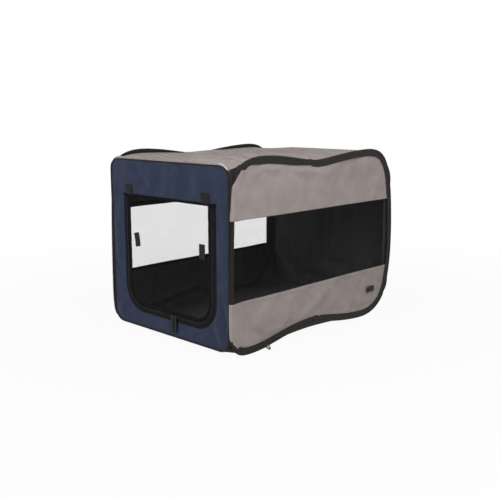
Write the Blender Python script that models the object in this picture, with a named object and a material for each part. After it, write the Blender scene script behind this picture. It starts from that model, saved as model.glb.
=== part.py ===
# Soft folding dog crate. Two side frames of spring wire carry a cloth roof and floor
# and two end walls, and a net door in the front wall opens upward on its top seam.
# Metres, +Z up. The front wall faces -Y, the right side is +X, and the crate stands on Z = 0.

import math

import bmesh
import bpy
from mathutils import Matrix, Vector

# Overall sizes, outside to outside
crate_width = 0.458
crate_length = 0.644
crate_height = 0.464

# Sheets, and the room that touching pieces leave each other
cloth = 0.0016
net = 0.001
webbing = 0.0012
clearance = 0.0003

# Side frames: a ring of spring wire in folded tape, round three panels
loop_wire_radius = 0.0016
ferrule_wall = 0.0006
ferrule_length = 0.03
binding_tape = 0.0008
binding_depth = 0.019
window_bottom = 0.131
window_top = 0.322

# End walls: flat panels with a thin wire in their piping
wall_inset = 0.0035
wall_bottom = 0.010
wall_drop = 0.016
edge_wire_radius = 0.001
piping_tape = 0.0006
piping_depth = 0.006
front_corner_top = 0.032
front_corner_bottom = 0.036
rear_corner = 0.075

# Roof and floor
roof_seam_depth = 0.003
roof_seam_drop = 0.008
floor_seam_depth = 0.004
floor_flat_length = 0.44

# Door opening in the front wall, and its zip
opening_centre = 0.0045
opening_width = 0.345
opening_bottom = 0.051
opening_top = 0.355
opening_corner = 0.070
zip_tape_width = 0.0127
zip_tape = 0.001
coil_radius = 0.0008
coil_end_drop = 0.008
zip_meeting = 0.027

# Zip sliders and their pull tapes
slider_length = 0.011
slider_wall = 0.0008
slider_lug = 0.001
pull_bar_radius = 0.0005
pull_eye_wall = 0.0006
pull_length = 0.040

# Straps on the panel, tabs on the net, the label and the stow loop
strap_width = 0.028
strap_length = 0.026
strap_spacing = 0.287
door_tab_width = 0.020
door_tab_length = 0.036
door_tab_height = 0.241
left_tab_x = -0.116
right_tab_x = 0.129
left_tab_tilt = math.radians(12)
label_length = 0.033
label_height = 0.0155
label_y = 0.229
label_z = 0.0725
stow_loop_reach = 0.014
stow_loop_height = 0.008
stow_loop_width = 0.009
stow_loop_corner_share = 0.3
stow_loop_y = -0.205

# The side frame's outline, counter-clockwise from its front foot, as shares of half the
# crate's length and of its height
loop_outline_shares = (
    (-0.83, 0.0), (-0.65, 0.006), (-0.40, 0.036), (-0.07, 0.054), (0.27, 0.020),
    (0.57, 0.0), (0.74, 0.016), (0.88, 0.078), (0.955, 0.185), (0.993, 0.33),
    (1.0, 0.46), (0.990, 0.62), (0.955, 0.80), (0.885, 0.925), (0.78, 0.983),
    (0.60, 1.0), (0.24, 0.981), (-0.07, 0.961), (-0.36, 0.984), (-0.67, 1.0),
    (-0.86, 0.976), (-0.945, 0.925), (-0.975, 0.84), (-0.987, 0.70), (-1.0, 0.30),
    (-0.998, 0.12), (-0.978, 0.052), (-0.92, 0.013),
)  # fmt: skip
ferrule_share = -0.18
dip_share = 0.961

# How finely round shapes are cut
samples_per_span = 2
corner_steps = 4
wire_sides = 6
fold_steps = 5
shoulder_steps = 6

# Worked out from the sizes above
pocket_radius = loop_wire_radius + ferrule_wall + 2 * clearance
fold_radius = pocket_radius + binding_tape
side_plane = crate_width / 2 - fold_radius
slot_half = cloth / 2 + clearance
piping_pocket = edge_wire_radius + clearance
piping_fold = piping_pocket + piping_tape
wall_half_width = side_plane - fold_radius - clearance
front_plane = wall_inset - crate_length / 2
rear_plane = crate_length / 2 - wall_inset
wall_top = crate_height - wall_drop
zip_centre = zip_tape_width + clearance
coil_inset = zip_centre - clearance - coil_radius
door_inset = 2 * zip_centre + clearance
panel_face = front_plane - cloth / 2 - clearance
strap_top = opening_top + clearance + strap_length
slider_height = opening_bottom + zip_centre
slider_foot = zip_tape / 2 + clearance
slider_channel = 2 * coil_radius + 2 * clearance
slider_roof = slider_foot + 2 * coil_radius + clearance
slider_crown = slider_roof + slider_wall
pull_eye_radius = pull_bar_radius + clearance + pull_eye_wall
pull_bar_depth = slider_crown + pull_eye_radius + clearance


def material(name, colour, roughness, metallic=0.0):
    made = bpy.data.materials.new(name)
    made.use_nodes = True
    shader = made.node_tree.nodes["Principled BSDF"]
    shader.inputs["Base Color"].default_value = (*colour, 1)
    shader.inputs["Roughness"].default_value = roughness
    shader.inputs["Metallic"].default_value = metallic
    return made


def origin_of(empty):
    """Where a carrier stands in the crate's own frame."""
    return empty.location + origin_of(empty.parent) if empty else Vector()


def carrier(name, origin, parent=None):
    """An empty on a joint's axis, which carries the pieces that move together."""
    empty = bpy.data.objects.new(name, None)
    bpy.context.scene.collection.objects.link(empty)
    empty.location = Vector(origin) - origin_of(parent)
    empty.parent = parent
    return empty


def add_piece(name, bm, finish, holder):
    """Close a mesh built in the crate's own frame and hang it on its carrier."""
    bmesh.ops.recalc_face_normals(bm, faces=bm.faces)
    mesh = bpy.data.meshes.new(name)
    bm.to_mesh(mesh)
    bm.free()
    mesh.transform(Matrix.Translation(-origin_of(holder)))
    mesh.materials.append(finish)
    mesh.shade_smooth()
    mesh.set_sharp_from_angle(angle=math.radians(40))
    piece = bpy.data.objects.new(name, mesh)
    bpy.context.scene.collection.objects.link(piece)
    piece.parent = holder
    return piece


def helper_of(piece):
    """Hide a shape that only cuts or completes another."""
    piece.hide_render = True
    piece.display_type = "WIRE"
    return piece


def boolean(piece, other, operation):
    made = piece.modifiers.new(other.name, "BOOLEAN")
    made.operation = operation
    made.object = helper_of(other)


# Outlines are lists of points (a, b), counter-clockwise, and a place function puts them
# in the crate: on a side frame (a, b) is (y, z), and on an end wall (x, z).
def side_place(x):
    return lambda a, b, side: Vector((x + side, a, b))


def wall_place(y):
    return lambda a, b, side: Vector((a, y + side, b))


def smooth_ring(points, steps):
    """A centripetal Catmull-Rom curve through a closed ring of points."""
    ring = [Vector(p) for p in points]
    found = []
    for i in range(len(ring)):
        p0, p1, p2, p3 = (ring[(i + k) % len(ring)] for k in (-1, 0, 1, 2))
        t1 = math.sqrt((p1 - p0).length)
        t2 = t1 + math.sqrt((p2 - p1).length)
        t3 = t2 + math.sqrt((p3 - p2).length)
        for step in range(steps):
            t = t1 + (t2 - t1) * step / steps
            a1 = p0.lerp(p1, t / t1)
            a2 = p1.lerp(p2, (t - t1) / (t2 - t1))
            a3 = p2.lerp(p3, (t - t2) / (t3 - t2))
            b1 = a1.lerp(a2, t / t2)
            b2 = a2.lerp(a3, (t - t1) / (t3 - t1))
            found.append(b1.lerp(b2, (t - t1) / (t2 - t1)))
    return found


def loop_outline():
    """The side frame's outline, fitted to the crate's length and height."""
    ring = smooth_ring(loop_outline_shares, samples_per_span)
    low = Vector(min(p[k] for p in ring) for k in (0, 1))
    high = Vector(max(p[k] for p in ring) for k in (0, 1))
    return [
        Vector((
            crate_length * ((p.x - low.x) / (high.x - low.x) - 1 / 2),
            crate_height * (p.y - low.y) / (high.y - low.y),
        ))
        for p in ring
    ]


def arc(centre, radius, start, end, steps):
    angles = [start + (end - start) * k / steps for k in range(steps + 1)]
    return [centre + radius * Vector((math.cos(a), math.sin(a))) for a in angles]


def rounded_outline(left, right, bottom, top, bottom_radius, top_radius):
    """A rectangle whose two lower and two upper corners have their own radius."""
    quarter = math.pi / 2
    corners = (
        (Vector((left + bottom_radius, bottom + bottom_radius)), bottom_radius, 2),
        (Vector((right - bottom_radius, bottom + bottom_radius)), bottom_radius, 3),
        (Vector((right - top_radius, top - top_radius)), top_radius, 4),
        (Vector((left + top_radius, top - top_radius)), top_radius, 5),
    )
    found = []
    for centre, radius, turn in corners:
        if radius > 0:
            found += arc(centre, radius, turn * quarter, (turn + 1) * quarter, corner_steps)
        else:
            found.append(centre)
    return found


def opening_outline(inset, top):
    """The door opening's edge, drawn in by inset at its sides and bottom."""
    return rounded_outline(
        opening_centre - opening_width / 2 + inset,
        opening_centre + opening_width / 2 - inset,
        opening_bottom + inset,
        top,
        opening_corner - inset,
        0,
    )


def opening_run(inset, top):
    """The same edge as an open run, from the top left round the bottom to the top right."""
    outline = opening_outline(inset, top)
    return [outline[-1], *outline[:-1]]


def inward(path, i, closed):
    """The unit vector that points to the left of a path at point i."""
    before = path[i - 1] if closed or i > 0 else path[i]
    after = path[(i + 1) % len(path)] if closed or i + 1 < len(path) else path[i]
    along = (after - before).normalized()
    return Vector((-along.y, along.x))


def offset_ring(path, depth):
    return [p + depth * inward(path, i, True) for i, p in enumerate(path)]


def bridge(bm, rings, closed):
    """Skin a row of point rings, each ring joined to the next."""
    for ring, following in zip(rings, rings[1:] + rings[:1] if closed else rings[1:]):
        for k in range(len(ring)):
            j = (k + 1) % len(ring)
            bm.faces.new((ring[k], ring[j], following[j], following[k]))


def sweep(name, path, section, place, finish, holder, closed=True):
    """Carry a section of points (depth, side) along a path, depth to the path's left."""
    bm = bmesh.new()
    rings = []
    for i, p in enumerate(path):
        left = inward(path, i, closed)
        rings.append([bm.verts.new(place(*(p + d * left), s)) for d, s in section])
    bridge(bm, rings, closed)
    if not closed:
        bm.faces.new(rings[0])
        bm.faces.new(rings[-1])
    return add_piece(name, bm, finish, holder)


def prism(name, outline, low, high, place, finish, holder):
    """A flat sheet or block: an outline, thick from low to high."""
    bm = bmesh.new()
    near = [bm.verts.new(place(*p, low)) for p in outline]
    far = [bm.verts.new(place(*p, high)) for p in outline]
    bm.faces.new(near)
    bm.faces.new(far)
    bridge(bm, (near, far), False)
    return add_piece(name, bm, finish, holder)


def box_outline(width, height, centre=(0, 0), tilt=0.0):
    turn = Matrix.Rotation(tilt, 2)
    corners = ((-1, -1), (1, -1), (1, 1), (-1, 1))
    return [Vector(centre) + turn @ Vector((a * width / 2, b * height / 2)) for a, b in corners]


def between(outline, low, high):
    """The part of an outline between two heights."""
    bm = bmesh.new()
    bm.faces.new([bm.verts.new((*p, 0)) for p in outline])
    for level, up in ((low, -1), (high, 1)):
        geometry = [*bm.verts, *bm.edges, *bm.faces]
        bmesh.ops.bisect_plane(
            bm, geom=geometry, plane_co=(0, level, 0), plane_no=(0, up, 0), clear_outer=True
        )
    bm.faces.ensure_lookup_table()
    found = [v.co.xy for v in bm.faces[0].verts]
    bm.free()
    return found


def round_section(radius, depth, side=0.0):
    turn = 2 * math.pi / wire_sides
    return [
        (depth + radius * math.cos(k * turn), side + radius * math.sin(k * turn))
        for k in range(wire_sides)
    ]


def fold_side(radius, leg, depth, centre):
    """One half of a fold's surface: its leg's end, then the curve up to the crest."""
    start = math.asin(leg / radius)
    curve = arc(Vector((centre, 0)), radius, start, math.pi, fold_steps)
    return [(depth, leg), *(tuple(p) for p in curve)]


def folded_section(pocket, tape, depth):
    """A tape folded over a wire, its two legs holding a sheet of cloth between them."""
    centre = pocket + tape
    outer = fold_side(pocket + tape, slot_half + tape, depth, centre)
    inner = fold_side(pocket, slot_half, depth, centre)
    outer += [(d, -s) for d, s in reversed(outer[:-1])]
    inner += [(d, -s) for d, s in reversed(inner[:-1])]
    return outer + inner[::-1]


def flat_section(low, high, thickness, side=0.0):
    half = thickness / 2
    return [(low, side - half), (high, side - half), (high, side + half), (low, side + half)]


def side_frame(side, x, holder):
    """One side of the crate: wire, ferrule, binding and the three panels inside them."""
    outline = loop_outline()
    place = side_place(x)
    sweep(f"{side}_loop_wire", outline, round_section(loop_wire_radius, fold_radius),
          place, spring_steel, holder)  # fmt: skip
    section = folded_section(pocket_radius, binding_tape, binding_depth)
    sweep(f"{side}_binding", outline, section, place, black_tape, holder)

    # The ferrule lies on the straight run of wire between two points of the outline
    wire_run = offset_ring(outline, fold_radius)
    runs = [(a, b) for a, b in zip(wire_run, wire_run[1:]) if a.y > crate_height / 2]
    target = ferrule_share * crate_length / 2
    start, end = min(runs, key=lambda run: abs((run[0].x + run[1].x) / 2 - target))
    half = (end - start).normalized() * ferrule_length / 2
    middle = (start + end) / 2
    ferrule(f"{side}_ferrule", middle - half, middle + half, place, holder)

    inside = offset_ring(outline, 2 * fold_radius)
    seam = clearance / 2
    parts = (
        ("lower_panel", 0, window_bottom - seam, cloth, grey_cloth),
        ("window", window_bottom + seam, window_top - seam, net, black_net),
        ("upper_panel", window_top + seam, crate_height, cloth, grey_cloth),
    )
    for part, low, high, thickness, finish in parts:
        prism(f"{side}_{part}", between(inside, low, high), -thickness / 2, thickness / 2,
              place, finish, holder)  # fmt: skip


def ferrule(name, start, end, place, holder):
    """A sleeve over the loop wire, between two points of the side frame's plane."""
    left = inward((start, end), 0, False)
    bore = loop_wire_radius + clearance
    sides = 2 * wire_sides
    turn = 2 * math.pi / sides
    bm = bmesh.new()
    rings = []
    for point, wall in ((start, 0), (start, ferrule_wall), (end, ferrule_wall), (end, 0)):
        radius = bore + wall
        ring = []
        for k in range(sides):
            p = point + left * radius * math.cos(k * turn)
            ring.append(bm.verts.new(place(*p, radius * math.sin(k * turn))))
        rings.append(ring)
    bridge(bm, rings, True)
    add_piece(name, bm, spring_steel, holder)


def end_wall(side, y, bottom_radius, top_radius):
    """An end wall's panel, its edge wire and the piping folded over them."""
    place = wall_place(y)
    outline = rounded_outline(
        -wall_half_width, wall_half_width, wall_bottom, wall_top, bottom_radius, top_radius
    )
    wire = round_section(edge_wire_radius, piping_fold)
    sweep(f"{side}_edge_wire", outline, wire, place, spring_steel, shell)
    section = folded_section(piping_pocket, piping_tape, piping_depth)
    sweep(f"{side}_piping", outline, section, place, black_tape, shell)
    inside = offset_ring(outline, 2 * piping_fold)
    return prism(f"{side}_panel", inside, -cloth / 2, cloth / 2, place, navy_cloth, shell)


def side_heights(upper):
    """The side frame's upper or lower run, as points (y, z) from front to rear."""
    outline = loop_outline()
    middle = crate_height / 2
    run = sorted((p for p in outline if (p.y > middle) == upper), key=lambda p: p.x)
    return [p for p in run if front_plane < p.x < rear_plane]


def height_at(run, y):
    for before, after in zip(run, run[1:]):
        if before.x <= y <= after.x:
            return before.y + (after.y - before.y) * (y - before.x) / (after.x - before.x)
    return run[0].y if y < run[0].x else run[-1].y


def half_section(drop, radius, reach):
    """A sheet's section from the middle to one side, as points (x, drop): level, then over a
    round shoulder and down to the side's drop, or up in a long curve where the side is higher."""
    level = [(reach - radius) * k / 4 for k in range(4)]
    if drop < 0:
        across = level + [reach - radius * (1 - k / shoulder_steps) for k in range(shoulder_steps + 1)]
        return [(x, drop * (x / reach) ** 3) for x in across]
    fall = min(drop, radius)
    fine = 8 * shoulder_steps
    curve = []
    for k in range(fine + 1):
        a = math.pi / 2 * k / fine
        curve.append(Vector((reach - radius + radius * math.sin(a), fall * (1 - math.cos(a)))))
    curve.append(Vector((reach, drop)))
    return [(x, 0.0) for x in level] + [tuple(p) for p in evenly(curve, shoulder_steps)]


def evenly(curve, steps):
    """steps + 1 points spaced evenly along a run of points."""
    lengths = [(b - a).length for a, b in zip(curve, curve[1:])]
    total = sum(lengths)
    found, i, passed = [curve[0]], 0, 0.0
    for k in range(1, steps):
        target = total * k / steps
        while passed + lengths[i] < target:
            passed += lengths[i]
            i += 1
        found.append(curve[i].lerp(curve[i + 1], (target - passed) / lengths[i]))
    return found + [curve[-1]]


def sheet_between_sides(name, upper, level_at, seam_at, radii, finish):
    """The roof or the floor: a sheet sewn to both side frames and to the end walls."""
    run = side_heights(upper)
    first = front_plane + piping_fold + clearance
    last = rear_plane - piping_fold - clearance
    least = 2 * cloth
    stations = [first, *(p.x for p in run if first + least < p.x < last - least), last]
    reach = wall_half_width - cloth / 2
    sign = -1 if upper else 1
    bm = bmesh.new()
    rows = []
    for y in stations:
        level = level_at(y)
        edge = height_at(run, y)
        edge += sign * seam_at(edge)
        share = (y - first) / (last - first)
        radius = radii[0] + (radii[1] - radii[0]) * share
        half = half_section(sign * (edge - level), radius, reach)
        points = [(-x, d) for x, d in reversed(half[1:])] + half
        rows.append([bm.verts.new((x, y, level + sign * d)) for x, d in points])
    for row, following in zip(rows, rows[1:]):
        for k in range(len(row) - 1):
            bm.faces.new((row[k], row[k + 1], following[k + 1], following[k]))
    piece = add_piece(name, bm, finish, shell)
    thick = piece.modifiers.new("thickness", "SOLIDIFY")
    thick.thickness = cloth
    thick.offset = 0
    thick.use_even_offset = True
    return piece


def roof_seam(edge):
    """The roof is sewn lower down the binding on the humps than in the dips."""
    dip = dip_share * crate_height
    rise = max(edge - dip, 0) / (crate_height - dip)
    return roof_seam_depth + roof_seam_drop * rise


def floor_level(y):
    """The floor lies flat in the middle and climbs to the foot of each end wall."""
    start = floor_flat_length / 2
    share = max(abs(y) - start, 0) / (rear_plane - start)
    return cloth / 2 + wall_bottom * share**2


def zip_half(name, inset, coil_at, holder):
    """Half of the zip: a band of tape round the opening, with its row of teeth."""
    place = wall_place(front_plane)
    top = opening_top - clearance
    band = flat_section(0, zip_tape_width - clearance, zip_tape)
    sweep(f"zip_tape_{name}", opening_run(inset, top), band, place, black_tape, holder, False)
    coil = round_section(coil_radius, 0, -zip_tape / 2 - clearance - coil_radius)
    run = opening_run(coil_at, top - coil_end_drop)
    sweep(f"zip_coil_{name}", run, coil, place, black_nylon, holder, False)


def zip_slider(side, x, holder, pull_holder):
    """A slider that straddles both coils, with a bar that its pull tape hangs from."""
    half = slider_length / 2
    outer = slider_channel + slider_wall
    profile = [
        (-outer, slider_foot), (-slider_channel, slider_foot), (-slider_channel, slider_roof),
        (slider_channel, slider_roof), (slider_channel, slider_foot), (outer, slider_foot),
        (outer, slider_crown), (-outer, slider_crown),
    ]  # fmt: skip

    def place(a, b, side):
        return Vector((x + side, front_plane - b, slider_height + a))

    def bar(radius):
        return arc(Vector((0, pull_bar_depth)), radius, 0, 2 * math.pi, 2 * wire_sides)[:-1]

    body = prism(f"zip_slider_{side}", profile, -half, half, place, zip_metal, holder)
    lug_top = pull_bar_depth + pull_bar_radius
    lug = box_outline(2 * slider_channel, lug_top - slider_roof, (0, (lug_top + slider_roof) / 2))
    for end in (-1, 1):
        low, high = sorted((end * half, end * (half - slider_lug)))
        piece = prism(f"lug_{side}_{end}", lug, low, high, place, zip_metal, holder)
        boolean(body, piece, "UNION")
    reach = half - slider_lug / 2
    piece = prism(f"bar_{side}", bar(pull_bar_radius), -reach, reach, place, zip_metal, holder)
    boolean(body, piece, "UNION")

    # The pull tape is folded round the bar and hangs straight down
    half -= slider_lug + clearance
    eye = flat_section(0, pull_eye_wall, 2 * half)
    pull = sweep(f"zip_pull_{side}", bar(pull_eye_radius), eye, place, black_tape, pull_holder)
    top = pull_eye_wall / 2 - pull_eye_radius
    tail = box_outline(pull_length + top, webbing, ((top - pull_length) / 2, pull_bar_depth))
    piece = prism(f"tail_{side}", tail, -half, half, place, black_tape, pull_holder)
    boolean(pull, piece, "UNION")


for leftover in list(bpy.data.objects):
    bpy.data.objects.remove(leftover)

navy_cloth = material("navy_cloth", (0.040, 0.052, 0.095), 0.75)
grey_cloth = material("grey_cloth", (0.30, 0.27, 0.25), 0.8)
dark_cloth = material("dark_cloth", (0.02, 0.02, 0.018), 0.8)
black_net = material("black_net", (0.010, 0.011, 0.012), 0.7)
black_tape = material("black_tape", (0.022, 0.020, 0.018), 0.7)
black_nylon = material("black_nylon", (0.012, 0.012, 0.012), 0.4)
zip_metal = material("zip_metal", (0.05, 0.05, 0.05), 0.35, 0.8)
spring_steel = material("spring_steel", (0.35, 0.36, 0.38), 0.3, 1.0)

# Carriers: one for each group of pieces that moves together
shell = carrier("shell", (0, 0, 0))
door = carrier("door", (opening_centre, panel_face - webbing / 2, opening_top), shell)

# Side frames
for side, turn in (("right", 1), ("left", -1)):
    frame = carrier(f"{side}_side", (turn * side_plane, 0, 0), shell)
    side_frame(side, turn * side_plane, frame)
    if side == "right":
        right_side = frame

# End walls
front_panel = end_wall("front", front_plane, front_corner_bottom, front_corner_top)
end_wall("rear", rear_plane, rear_corner, rear_corner)
opening = prism("opening_cutter", opening_outline(0, opening_top), -cloth, cloth,
                wall_place(front_plane), navy_cloth, shell)  # fmt: skip
boolean(front_panel, opening, "DIFFERENCE")

# Roof and floor
sheet_between_sides("roof_panel", True, lambda y: wall_top - cloth / 2, roof_seam,
                    (front_corner_top, rear_corner), grey_cloth)  # fmt: skip
sheet_between_sides("floor_panel", False, floor_level, lambda edge: floor_seam_depth,
                    (front_corner_bottom, rear_corner), dark_cloth)  # fmt: skip

# Door: the net, its half of the zip, and two tabs
zip_half("frame", clearance, coil_inset, shell)
zip_half("door", zip_centre + clearance, 2 * zip_centre - coil_inset, door)
prism("door_net", opening_outline(door_inset, opening_top - clearance), -net / 2, net / 2,
      wall_place(front_plane), black_net, door)  # fmt: skip
tab_face = -net / 2 - clearance
for side, x, tilt in (("left", left_tab_x, left_tab_tilt), ("right", right_tab_x, 0.0)):
    tab = box_outline(door_tab_width, door_tab_length, (x, door_tab_height), tilt)
    prism(f"door_tab_{side}", tab, tab_face - webbing, tab_face,
          wall_place(front_plane), black_tape, door)  # fmt: skip

# Straps above the opening, each hinged at its sewn top edge
for side, turn in (("left", -1), ("right", 1)):
    x = turn * strap_spacing / 2
    holder = carrier(f"strap_{side}", (x, panel_face - webbing, strap_top), shell)
    strap = box_outline(strap_width, strap_length, (x, strap_top - strap_length / 2))
    prism(f"door_strap_{side}", strap, -webbing, 0, wall_place(panel_face), black_tape, holder)

# Sliders meet at the bottom of the opening, each with its own pull tape
for side, turn in (("left", -1), ("right", 1)):
    x = zip_meeting + turn * (slider_length / 2 + clearance)
    holder = carrier(f"slider_{side}", (x, front_plane, slider_height), shell)
    pull_holder = carrier(f"pull_{side}", (x, front_plane - pull_bar_depth, slider_height), holder)
    zip_slider(side, x, holder, pull_holder)

# Label patch and stow loop, both on the right side
label = box_outline(label_length, label_height, (label_y, label_z))
label_face = cloth / 2 + clearance
prism("label_patch", label, label_face, label_face + webbing / 2,
      side_place(side_plane), black_tape, right_side)  # fmt: skip
low = height_at(side_heights(False), stow_loop_y)
high = low + stow_loop_height
loop_x = crate_width / 2 + clearance
stow_holder = carrier("stow", (loop_x, stow_loop_y, high), right_side)
corner = stow_loop_height * stow_loop_corner_share
stow = rounded_outline(loop_x, loop_x + stow_loop_reach, low, high, corner, corner)
sweep("stow_loop", stow, flat_section(0, webbing, stow_loop_width),
      wall_place(stow_loop_y), black_tape, stow_holder)  # fmt: skip
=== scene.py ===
# %% [markdown]
# # A soft folding dog crate
# The crate is a cloth box between two side frames. Each side frame is a ring of spring wire
# in folded tape, and the wire wants to lie flat, so it holds the cloth taut.
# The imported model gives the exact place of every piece. Here each cloth piece is made again
# as real cloth, with folds, seams and stitches, in the place of its plain solid.

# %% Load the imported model
import math
from types import SimpleNamespace

import bpy
import numpy as np
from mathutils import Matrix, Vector
from mathutils.bvhtree import BVHTree


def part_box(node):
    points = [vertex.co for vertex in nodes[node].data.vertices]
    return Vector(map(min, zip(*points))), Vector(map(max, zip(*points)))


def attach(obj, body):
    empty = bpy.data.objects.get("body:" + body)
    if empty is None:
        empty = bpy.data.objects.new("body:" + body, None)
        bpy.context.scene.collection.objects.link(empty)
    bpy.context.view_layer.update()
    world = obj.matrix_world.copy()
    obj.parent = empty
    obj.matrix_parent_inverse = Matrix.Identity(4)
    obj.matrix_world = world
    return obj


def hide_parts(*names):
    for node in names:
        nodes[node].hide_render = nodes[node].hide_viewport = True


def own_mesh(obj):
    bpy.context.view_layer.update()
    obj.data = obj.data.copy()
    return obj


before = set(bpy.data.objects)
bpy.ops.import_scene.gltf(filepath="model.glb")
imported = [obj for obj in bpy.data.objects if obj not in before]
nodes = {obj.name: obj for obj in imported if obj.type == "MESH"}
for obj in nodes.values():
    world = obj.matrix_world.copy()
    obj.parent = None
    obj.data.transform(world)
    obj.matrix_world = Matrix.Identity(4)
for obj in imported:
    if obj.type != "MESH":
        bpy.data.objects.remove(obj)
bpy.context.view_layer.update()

# %% [markdown]
# ## Sizes
# A maker measures before cutting. The planes of the side frames and of the end walls are
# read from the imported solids, so that no size is written twice.

# %% Read the main sizes
tape_low, tape_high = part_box("right_binding")
side_plane = (tape_low.x + tape_high.x) / 2
tape_crest = (tape_high.x - tape_low.x) / 2
wall_low, wall_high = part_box("front_piping")
front_plane = (wall_low.y + wall_high.y) / 2
wall_reach = wall_high.x
rear_plane = sum(corner.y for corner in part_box("rear_piping")) / 2
sides = (("right", 1), ("left", -1))  # each side's name, and the way it looks along x
cloth_thickness = 0.0006
front_radii, rear_radii = (0.036, 0.032), (0.075, 0.075)  # the end walls' lower and upper corners
room = 0.0003
zip_low, zip_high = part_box("zip_tape_frame")
opening = SimpleNamespace(
    left=zip_low.x - room, right=zip_high.x + room, bottom=zip_low.z - room,
    top=zip_high.z + room, corner=0.070,
)
window = SimpleNamespace(bottom=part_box("right_window")[0].z, top=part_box("right_window")[1].z)
print("side plane", round(side_plane, 4), "front", round(front_plane, 4), "rear", round(rear_plane, 4))

# %% [markdown]
# ## Colours and nodes
# Colours are written as a screen shows them, in sRGB hex. A shader wants linear light, so
# one function turns them. A second small function adds a node, sets it and links it, which
# keeps every material below short enough to read.

# %% Colour and node helpers
def linear(hex_colour):
    """An sRGB hex colour as the linear RGBA that a shader wants."""
    shares = [int(hex_colour[k:k + 2], 16) / 255 for k in (1, 3, 5)]
    return (*(c / 12.92 if c <= 0.04045 else ((c + 0.055) / 1.055) ** 2.4 for c in shares), 1)


def add(tree, kind, settings=None, inputs=None):
    """Add a node, set its own settings, then set or link its inputs."""
    node = tree.nodes.new("ShaderNode" + kind)
    for key, value in (settings or {}).items():
        setattr(node, key, value)
    for key, value in (inputs or {}).items():
        if isinstance(value, bpy.types.NodeSocket):
            tree.links.new(value, node.inputs[key])
        else:
            node.inputs[key].default_value = value
    return node


def new_material(name):
    """An empty material and its output node."""
    made = bpy.data.materials.new(name)
    made.use_nodes = True
    made.node_tree.nodes.clear()
    return made, made.node_tree, add(made.node_tree, "OutputMaterial")


# %% [markdown]
# ## Coated Oxford cloth
# The panels are a plain-weave polyester of about 600 denier: two threads cross over and
# under in turn, and a coating on the back keeps it in shape. A plain weave is a
# chequerboard of little humps, so two sine bands, one for each thread, are mixed by a
# checker. The real threads are 0.45 mm apart, too fine to show here, so the weave is drawn
# at 1.2 mm. To the eye the weave gives a soft, dull surface with a faint glow at its edges.

# %% Woven cloth
weave_pitch = 0.0012
bands_per_unit = math.pi / 10  # the wave texture's scale for one sine to each unit


def woven(name, colour, dark, pitch=weave_pitch, relief=0.35, roughness=0.82, sheen=0.06,
          stretch=1.0, cloudy=0.12, gloss=0.2, cloud_scale=(24, 24, 1)):
    """A woven fabric: colour on the threads' backs, dark between them."""
    made, tree, output = new_material(name)
    cloth_uv = add(tree, "UVMap", {"uv_map": "cloth"}).outputs["UV"]
    spread = add(tree, "Mapping", inputs={
        "Vector": cloth_uv, "Scale": (1 / pitch, 1 / (pitch * stretch), 1)}).outputs[0]
    warp = add(tree, "TexWave", {"bands_direction": "X"},
               {"Vector": spread, "Scale": bands_per_unit}).outputs["Fac"]
    weft = add(tree, "TexWave", {"bands_direction": "Y"},
               {"Vector": spread, "Scale": bands_per_unit}).outputs["Fac"]
    over = add(tree, "TexChecker", inputs={"Vector": spread, "Scale": 1.0}).outputs["Fac"]
    hump = add(tree, "Mix", inputs={"Factor": over, "A": warp, "B": weft}).outputs["Result"]

    # Slubs are the slightly thicker stretches of thread, and clouds are uneven dye and dust. On
    # the roof the clouds are made stronger and drawn out in streaks from side to side, and there
    # they are painted light and shade of its creases
    slub_map = add(tree, "Mapping", inputs={"Vector": cloth_uv, "Scale": (900, 60, 1)})
    slubs = add(tree, "TexNoise", {"noise_dimensions": "2D"},
                {"Vector": slub_map.outputs[0], "Scale": 1.0, "Detail": 2.0}).outputs["Fac"]
    cloud_map = add(tree, "Mapping", inputs={"Vector": cloth_uv, "Scale": cloud_scale})
    clouds = add(tree, "TexNoise", {"noise_dimensions": "2D"},
                 {"Vector": cloud_map.outputs[0], "Scale": 1.0, "Detail": 3.0}).outputs["Fac"]
    mottle = add(tree, "Mix", inputs={"Factor": 0.5, "A": slubs, "B": clouds}).outputs["Result"]
    tone = add(tree, "MapRange", inputs={
        "Value": mottle, "From Min": 0.3, "From Max": 0.7,
        "To Min": 1 - cloudy, "To Max": 1 + cloudy}).outputs["Result"]
    thread = add(tree, "Mix", {"data_type": "RGBA"}, {
        "Factor": hump, "A": linear(dark), "B": linear(colour)}).outputs["Result"]
    shade = add(tree, "VectorMath", {"operation": "SCALE"},
                {"Vector": thread, "Scale": tone}).outputs["Vector"]
    height = add(tree, "Math", {"operation": "MULTIPLY_ADD"},
                 {0: slubs, 1: 0.3, 2: hump}).outputs[0]
    bump = add(tree, "Bump", inputs={
        "Strength": relief, "Distance": pitch / 3, "Height": height}).outputs["Normal"]
    rough = add(tree, "MapRange", inputs={
        "Value": hump, "To Min": min(roughness + 0.1, 1), "To Max": roughness}).outputs["Result"]
    shader = add(tree, "BsdfPrincipled", inputs={
        "Base Color": shade, "Roughness": rough, "Normal": bump, "IOR": 1.5,
        "Sheen Weight": sheen, "Sheen Roughness": 0.5, "Specular IOR Level": gloss})
    tree.links.new(shader.outputs[0], output.inputs["Surface"])
    return made


grey_oxford = woven("grey Oxford polyester", "#aa9f9c", "#8c827f")
# The roof is the same grey cloth, with pale and dark streaks painted into its colour as the
# light and shade of its creases
crease_shaded_oxford = woven("grey Oxford polyester, painted crease shade", "#a89e9b", "#8a807d", cloudy=0.42,
                       cloud_scale=(75, 9, 1))
navy_oxford = woven("navy Oxford polyester", "#333c54", "#252d40")
dark_oxford = woven("black Oxford polyester", "#222221", "#161615")
coated_back = woven("black coated back of the cloth", "#2e2e2d", "#272626", relief=0.12,
                    roughness=0.6, sheen=0.1)
side_back = woven("black coated back of the side cloth", "#3b3b3a", "#333332", relief=0.12,
                  roughness=0.6, sheen=0.1)
# The roll at the roof's front edge is the roof's grey cloth with a painted highlight: its colour is made
# much paler than the roof's
highlight_painted_edge = woven("grey Oxford polyester, painted highlight on the turned edge", "#d8d3d4", "#c1bcbe")

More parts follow.
